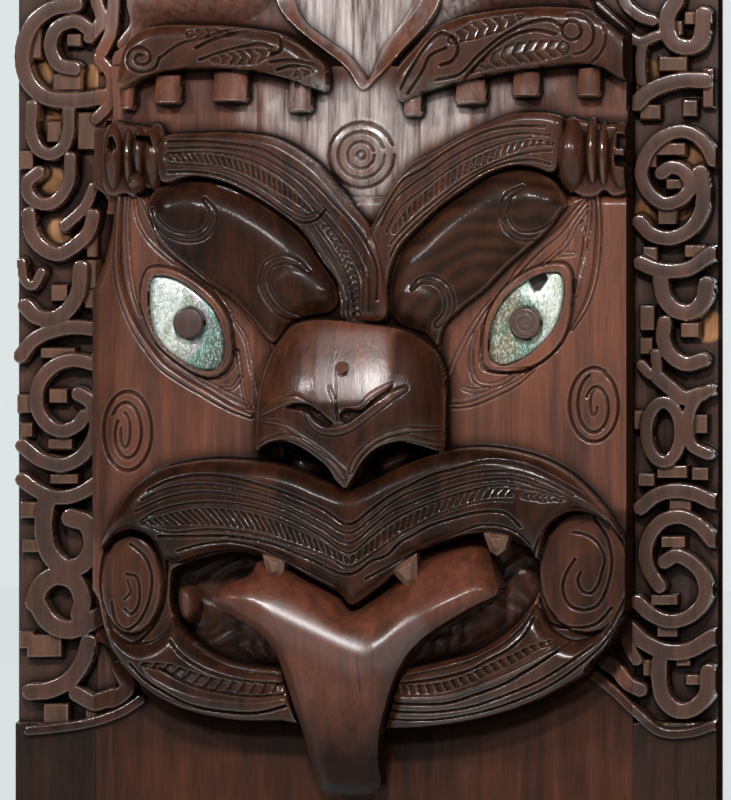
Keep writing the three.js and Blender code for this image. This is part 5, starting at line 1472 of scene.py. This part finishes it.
def wood_material(name, group, light, dark, bump=0.0004, coat=0.8, toned=True):
    """Waxed wood with a thin gloss coat, which reads its piece's tones where it is toned."""
    material, tree, shader = new_material(name)
    wood = add(tree, "ShaderNodeGroup", node_tree=group)
    polish = add(tree, "ShaderNodeAttribute", attribute_name="polish").outputs["Fac"]
    feed(tree, wood, {"Light": light, "Dark": dark})
    for tone in TONES if toned else ():
        reader = add(tree, "ShaderNodeAttribute", attribute_name=tone)
        feed(tree, wood, {tone.title(): reader.outputs["Fac"]})
    bumped = add(tree, "ShaderNodeBump", {"Height": wood.outputs["Height"], "Distance": bump, "Strength": 1.0})
    feed(tree, shader, {
        "Base Color": wood.outputs["Color"], "Roughness": wood.outputs["Roughness"], "Normal": bumped.outputs[0],
        "Coat Normal": bumped.outputs[0], "Coat Weight": maths(tree, "MULTIPLY", wood.outputs["Gloss"], coat),
        "Specular IOR Level": wood.outputs["Shine"],
        "Coat Roughness": maths(tree, "MULTIPLY_ADD", polish, 0.13, 0.12),
    })
    return material


# Place along the ramp, which runs from left to right over the plate, and colour
SHELL_STOPS = {
    "left": [(0.0, (166, 176, 172)), (0.3, (208, 214, 206)), (0.45, (170, 176, 160)), (0.54, (140, 150, 136)),
             (0.62, (164, 148, 162)), (0.7, (96, 138, 126)), (0.82, (48, 90, 80)), (1.0, (38, 66, 58))],
    "right": [(0.0, (60, 92, 74)), (0.2, (96, 94, 68)), (0.38, (116, 106, 76)), (0.47, (66, 116, 98)),
              (0.56, (122, 152, 132)), (0.68, (208, 214, 206)), (0.84, (190, 198, 178)), (1.0, (112, 150, 130))],
}


def shell_material(name, side, centre, direction):
    """Sea shell: colours that follow a slanted distance across the plate, bent by noise, with sparkle and hairlines."""
    material, tree, shader = new_material(name)
    place = add(tree, "ShaderNodeTexCoord").outputs["Object"]
    moved = add(tree, "ShaderNodeMapping", {"Vector": place, "Location": (-centre[0] * MM, 0, -centre[1] * MM)})
    across = add(tree, "ShaderNodeVectorMath", {0: moved.outputs[0], 1: direction}, operation="DOT_PRODUCT")
    cloud = noise(tree, moved.outputs[0], 46.0, 4, 0.6, (1, 1, 0.6), 1.2)
    bent = maths(tree, "MULTIPLY_ADD", cloud, 0.9, maths(tree, "MULTIPLY_ADD", across.outputs["Value"], 14.0, 0.05))
    ramp = add(tree, "ShaderNodeValToRGB", {"Fac": bent})
    stops = SHELL_STOPS[side]
    while len(ramp.color_ramp.elements) < len(stops):
        ramp.color_ramp.elements.new(0.5)
    for element, (position, colour) in zip(ramp.color_ramp.elements, stops):
        element.position, element.color = position, srgb(*colour)
    sparkle = noise(tree, moved.outputs[0], 800.0, 3, 0.7, (1, 1, 0.5))
    # White flecks: the shell's pearl with a painted glint; the darker specks below are the shell's own
    colour = mix(tree, maths(tree, "MULTIPLY", spread(tree, sparkle, 0.5, 0.64), 0.45), ramp.outputs["Color"],
                 srgb(252, 252, 248))
    colour = mix(tree, maths(tree, "MULTIPLY", spread(tree, sparkle, 0.48, 0.36), 0.7), colour, srgb(92, 92, 68))
    lines = noise(tree, moved.outputs[0], 1.0, 3, 0.6, (60, 60, 260), 2.0)
    hair = maths(tree, "COMPARE", lines, 0.5, 0.006)
    colour = mix(tree, maths(tree, "MULTIPLY", hair, 0.5), colour, srgb(50, 52, 40))
    bump = add(tree, "ShaderNodeBump", {"Height": sparkle, "Distance": 0.0005, "Strength": 0.8})
    feed(tree, shader, {
        "Base Color": colour, "Normal": bump.outputs[0], "Metallic": 0.35, "Roughness": 0.3, "Coat Weight": 0.5,
        "Coat Roughness": 0.1,
    })
    return material


def plain_material(name, colour, colour_two, roughness, metallic=0.0, scale=60.0):
    """Two colours mottled by noise."""
    material, tree, shader = new_material(name)
    place = add(tree, "ShaderNodeTexCoord").outputs["Object"]
    speck = noise(tree, place, scale, 4)
    bump = add(tree, "ShaderNodeBump", {"Height": speck, "Distance": 0.0002, "Strength": 0.5})
    feed(tree, shader, {
        "Base Color": mix(tree, spread(tree, speck, 0.35, 0.65), colour, colour_two), "Normal": bump.outputs[0],
        "Roughness": roughness, "Metallic": metallic,
    })
    return material


def refinish(node, material):
    """Gives one of the frame's solids a single material."""
    node.data.materials.clear()
    node.data.materials.append(material)


class PanelColours(bpy.types.PropertyGroup):
    """Colours of the panel's woods."""
    mask_light: bpy.props.FloatVectorProperty(
        name="Mask wood, light", description="Light streaks of the waxed centre board", subtype="COLOR", size=4,
        default=srgb(112, 60, 37), min=0, max=1)
    mask_dark: bpy.props.FloatVectorProperty(
        name="Mask wood, dark", description="Dark streaks of the waxed centre board", subtype="COLOR", size=4,
        default=srgb(56, 30, 20), min=0, max=1)
    border_light: bpy.props.FloatVectorProperty(
        name="Border wood, light", description="Light streaks of the side boards", subtype="COLOR", size=4,
        default=srgb(84, 50, 36), min=0, max=1)
    border_dark: bpy.props.FloatVectorProperty(
        name="Border wood, dark", description="Dark streaks of the side boards", subtype="COLOR", size=4,
        default=srgb(44, 28, 20), min=0, max=1)


class PanelLights(bpy.types.PropertyGroup):
    """The studio round the panel."""
    key_power: bpy.props.FloatProperty(
        name="Key light", description="Power of the lamp above the middle", default=46.0, min=0, unit="POWER")
    side_power: bpy.props.FloatProperty(
        name="Side lights", description="Power of the lamps to both sides", default=26.0, min=0, unit="POWER")
    ambient: bpy.props.FloatProperty(
        name="Ambient", description="Strength of the even light from all round", default=0.06, min=0)


def shared_wood(slot, light, dark, **settings):
    """The waxed wood of a slot; it and the group that all woods share are made once."""
    name = f"waxed_{slot}"
    group = bpy.data.node_groups.get("waxed_wood") or waxed_wood_group()
    return bpy.data.materials.get(name) or wood_material(name, group, light, dark, **settings)


CHIN_GRIME = 13.0  # how far the painted shadow under the chin reaches on the chest, in millimetres
# Upper end of each stretch of the centre board, in millimetres
CENTRE_SPLITS = {"chest": -285, "chin": -165, "mouth": -45, "nose": 75, "eyes": 195, "brow": 262, "feet": 370}


class OBJECT_OT_carve_centre_board(bpy.types.Operator):
    """Carve the centre board with the mask, in level stretches that meet face to face"""
    bl_idname = "object.carve_centre_board"
    bl_label = "Centre board"

    def execute(self, context):
        colours = context.scene.panel_colours
        wood = shared_wood("mask_wood", colours.mask_light, colours.mask_dark)
        relief = centre_relief()
        tones, normals = surface_tones(relief), surface_normals(relief)
        # A painted shadow: the chest just below the head's outline takes the deep tone, which darkens it to near black
        chin = at(HEAD, CHEEK)
        part, x, z = relief.near(chin, 24)
        below = np.clip((CHIN_GRIME + inside(chin, x, z)) / 3 + 1, 0, 1) * (relief.out[part] < CHEST + 8)
        tones["deep"][part] = np.maximum(tones["deep"][part], soften(below * 0.9, 2))
        start = 0
        for name, top in CENTRE_SPLITS.items():
            stop = int(np.argmin(np.abs(relief.z - top)))
            piece = board_piece(f"centre_board_{name}", relief, slice(start, stop + 1), tones, normals)
            finish_piece(piece, wood, "mask_wood", "centre_slab")
            start = stop
        return {"FINISHED"}


class OBJECT_OT_carve_borders(bpy.types.Operator):
    """Carve the two side boards with their loops and spirals"""
    bl_idname = "object.carve_borders"
    bl_label = "Side boards"

    def execute(self, context):
        colours = context.scene.panel_colours
        wood = shared_wood("border_wood", colours.border_light, colours.border_dark)
        for name, side in (("left", -1), ("right", 1)):
            relief = border_relief(side)
            rows = slice(0, len(relief.z))
            piece = board_piece(f"{name}_border", relief, rows, surface_tones(relief), surface_normals(relief))
            finish_piece(piece, wood, "border_wood", f"{name}_side_board")
        return {"FINISHED"}


class OBJECT_OT_carve_tongue(bpy.types.Operator):
    """Carve the tongue"""
    bl_idname = "object.carve_tongue"
    bl_label = "Tongue"

    def execute(self, context):
        wood = shared_wood("tongue_wood", srgb(116, 62, 42), srgb(66, 36, 26), bump=0.0003, coat=0.7)
        finish_piece(tongue_piece(), wood, "tongue_wood", "tongue")
        return {"FINISHED"}


class OBJECT_OT_carve_teeth(bpy.types.Operator):
    """Carve the four teeth"""
    bl_idname = "object.carve_teeth"
    bl_label = "Teeth"

    def execute(self, context):
        pale = shared_wood("tooth_wood", srgb(122, 88, 72), srgb(82, 54, 42), toned=False)
        dark = shared_wood("corner_tooth_wood", srgb(96, 56, 38), srgb(52, 30, 22), toned=False)
        for name, outline in TEETH.items():
            finish_piece(tooth_piece(name, outline), pale, "tooth_wood", name)
        finish_piece(corner_tooth_piece(), dark, "corner_tooth_wood", "tooth_corner_left")
        return {"FINISHED"}


class OBJECT_OT_set_eyes(bpy.types.Operator):
    """Set the shell plates and the wooden pegs of the eyes"""
    bl_idname = "object.set_eyes"
    bl_label = "Eyes"

    def execute(self, context):
        peg_wood = shared_wood("peg_wood", srgb(92, 66, 58), srgb(58, 40, 34), toned=False, bump=0.0002)
        gum = plain_material("eye_gum", srgb(28, 24, 22), srgb(44, 36, 30), 0.7)
        sides = [
            ("left", LEFT_SHELL, LEFT_PEG, None, False, (0.9, 0.0, -0.3)),
            ("right", RIGHT_SHELL, RIGHT_PEG, SHELL_NOTCH, True, (0.9, 0.0, -0.1)),
        ]
        for side, outline, peg, notch, carved, direction in sides:
            shell = shell_piece(f"{side}_shell", outline, peg, notch)
            finish = shell_material(f"{side}_shell", side, at([peg], SHELL_TOP)[0], direction)
            finish_piece(shell, finish, "eye_shell", f"{side}_eye_shell")
            finish_piece(peg_piece(f"{side}_peg", peg, carved), peg_wood, "peg_wood", f"{side}_eye_peg")
            refinish(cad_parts[f"{side}_eye_bedding"], gum)
        return {"FINISHED"}


class OBJECT_OT_finish_fixings(bpy.types.Operator):
    """Give the plug, battens, dowels and screws their finishes"""
    bl_idname = "object.finish_fixings"
    bl_label = "Fixings"

    def execute(self, context):
        colours = context.scene.panel_colours
        plug = shared_wood("plug_wood", colours.mask_light, colours.mask_dark, toned=False)
        pale = shared_wood("batten_wood", srgb(150, 112, 76), srgb(104, 72, 46), toned=False, coat=0.0)
        steel = plain_material("screw_steel", srgb(140, 140, 138), srgb(104, 104, 104), 0.4, 0.9, 400.0)
        finishes = {"nose_plug": plug, "batten": pale, "dowel": pale, "screw": steel}
        for name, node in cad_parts.items():
            for word, finish in finishes.items():
                if word in name:
                    refinish(node, finish)
        return {"FINISHED"}


# The stage, in metres
FLOOR_Z = -0.3702
FLOOR_REACH = 9.0
BACKDROP_Y = 6.5
BACKDROP = srgb(221, 229, 229)
LAMP_AIM = np.array([0.0, -0.05, 0.0])
LAMPS = [
    # name, place, size, setting that gives the power, share of it
    ("key", (0.15, -2.4, 1.2), 0.2, "key_power", 1.0), ("left", (-1.4, -2.0, 1.05), 0.16, "side_power", 1.0),
    ("right", (1.5, -2.0, 1.0), 0.16, "side_power", 0.85), ("back", (0.5, 2.6, 1.5), 0.8, "side_power", 1.0),
]


def seen_colour(material, colour, shine):
    """A matt material that shows its own colour, unlit, to the camera and in gloss, and is lit for everything else."""
    material.use_nodes = True
    tree = material.node_tree
    tree.nodes.clear()
    path = add(tree, "ShaderNodeLightPath")
    seen = maths(tree, "MAXIMUM", path.outputs["Is Camera Ray"], path.outputs["Is Glossy Ray"])
    seen = maths(tree, "MAXIMUM", seen, path.outputs["Is Transmission Ray"])
    seen = maths(tree, "MULTIPLY", seen, shine)
    matt = add(tree, "ShaderNodeBsdfDiffuse", {"Color": colour})
    glow = add(tree, "ShaderNodeEmission", {"Color": colour})
    both = add(tree, "ShaderNodeMixShader", {0: seen, 1: matt.outputs[0], 2: glow.outputs[0]})
    out = add(tree, "ShaderNodeOutputMaterial")
    tree.links.new(both.outputs[0], out.inputs["Surface"])


def lamp(name, place, size, power):
    """A round lamp that looks at the middle of the panel."""
    light = bpy.data.lights.new(name, "AREA")
    light.energy = power
    light.shape = "DISK"
    light.size = size
    obj = bpy.data.objects.new(name, light)
    bpy.context.scene.collection.objects.link(obj)
    obj.location = place
    obj.rotation_mode = "QUATERNION"
    obj.rotation_quaternion = Vector(LAMP_AIM - np.array(place)).to_track_quat("-Z", "Y")


def sheet(name, corners, material):
    """A flat stage sheet with four corners."""
    mesh = bpy.data.meshes.new(name)
    mesh.from_pydata(corners, [], [(0, 1, 2, 3)])
    mesh.materials.append(material)
    obj = bpy.data.objects.new(name, mesh)
    bpy.context.scene.collection.objects.link(obj)


class OBJECT_OT_build_stage(bpy.types.Operator):
    """Set the pale floor, backdrop, lamps and the camera"""
    bl_idname = "object.build_stage"
    bl_label = "Stage"

    def execute(self, context):
        scene = context.scene
        lights = scene.panel_lights
        scene.view_settings.view_transform = "Standard"
        floor = bpy.data.materials.new("pale_floor")
        seen_colour(floor, BACKDROP, 0.94)
        wall = bpy.data.materials.new("pale_backdrop")
        seen_colour(wall, BACKDROP, 1.0)
        far, back = FLOOR_REACH, BACKDROP_Y
        rear = [(far, back, FLOOR_Z), (-far, back, FLOOR_Z)]
        sheet("floor", [(-far, -far, FLOOR_Z), (far, -far, FLOOR_Z), *rear], floor)
        sheet("backdrop", [*rear[::-1], (far, back, far), (-far, back, far)], wall)
        world = bpy.data.worlds.new("studio")
        world.use_nodes = True
        scene.world = world
        tree = world.node_tree
        feed(tree, tree.nodes["Background"], {"Color": srgb(226, 232, 234), "Strength": lights.ambient})
        for name, place, size, setting, share in LAMPS:
            lamp(name, place, size, getattr(lights, setting) * share)
        camera = bpy.data.cameras.new("camera")
        camera.sensor_width = SENSOR
        camera.lens = VIEW_FOCUS * SENSOR / max(FRAME_SIZE)
        camera.clip_end = 50.0
        eye = bpy.data.objects.new("camera", camera)
        scene.collection.objects.link(eye)
        x = VIEW_AIM[0] + VIEW_DISTANCE * np.sin(VIEW_TURN)
        y = -VIEW_AIM[1] - VIEW_DISTANCE * np.cos(VIEW_TURN)
        eye.location = (x * MM, y * MM, VIEW_AIM[2] * MM)
        eye.rotation_euler = (np.pi / 2, 0, VIEW_TURN)
        scene.camera = eye
        return {"FINISHED"}


OPERATORS = [
    OBJECT_OT_carve_centre_board, OBJECT_OT_carve_borders, OBJECT_OT_carve_tongue, OBJECT_OT_carve_teeth,
    OBJECT_OT_set_eyes, OBJECT_OT_finish_fixings, OBJECT_OT_build_stage,
]


class VIEW3D_PT_ancestor_panel(bpy.types.Panel):
    """Lists the panel's colours, lights and building steps"""
    bl_label = "Ancestor panel"
    bl_idname = "VIEW3D_PT_ancestor_panel"
    bl_space_type = "VIEW_3D"
    bl_region_type = "UI"
    bl_category = "Panel"

    def draw(self, context):
        for group in (context.scene.panel_colours, context.scene.panel_lights):
            for key in group.__annotations__:
                self.layout.prop(group, key)
        for operator in OPERATORS:
            self.layout.operator(operator.bl_idname)


CLASSES = [PanelColours, PanelLights, *OPERATORS, VIEW3D_PT_ancestor_panel]


def register():
    """Registers every class and the scene's two groups of settings."""
    for cls in CLASSES:
        bpy.utils.register_class(cls)
    bpy.types.Scene.panel_colours = bpy.props.PointerProperty(type=PanelColours)
    bpy.types.Scene.panel_lights = bpy.props.PointerProperty(type=PanelLights)


def unregister():
    """Takes back what register has made, in the opposite order."""
    del bpy.types.Scene.panel_colours
    del bpy.types.Scene.panel_lights
    for cls in reversed(CLASSES):
        bpy.utils.unregister_class(cls)


def main():
    """Registers the add-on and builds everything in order."""
    register()
    for operator in OPERATORS:
        area, name = operator.bl_idname.split(".")
        getattr(getattr(bpy.ops, area), name)()


if __name__ == "__main__":
    main()
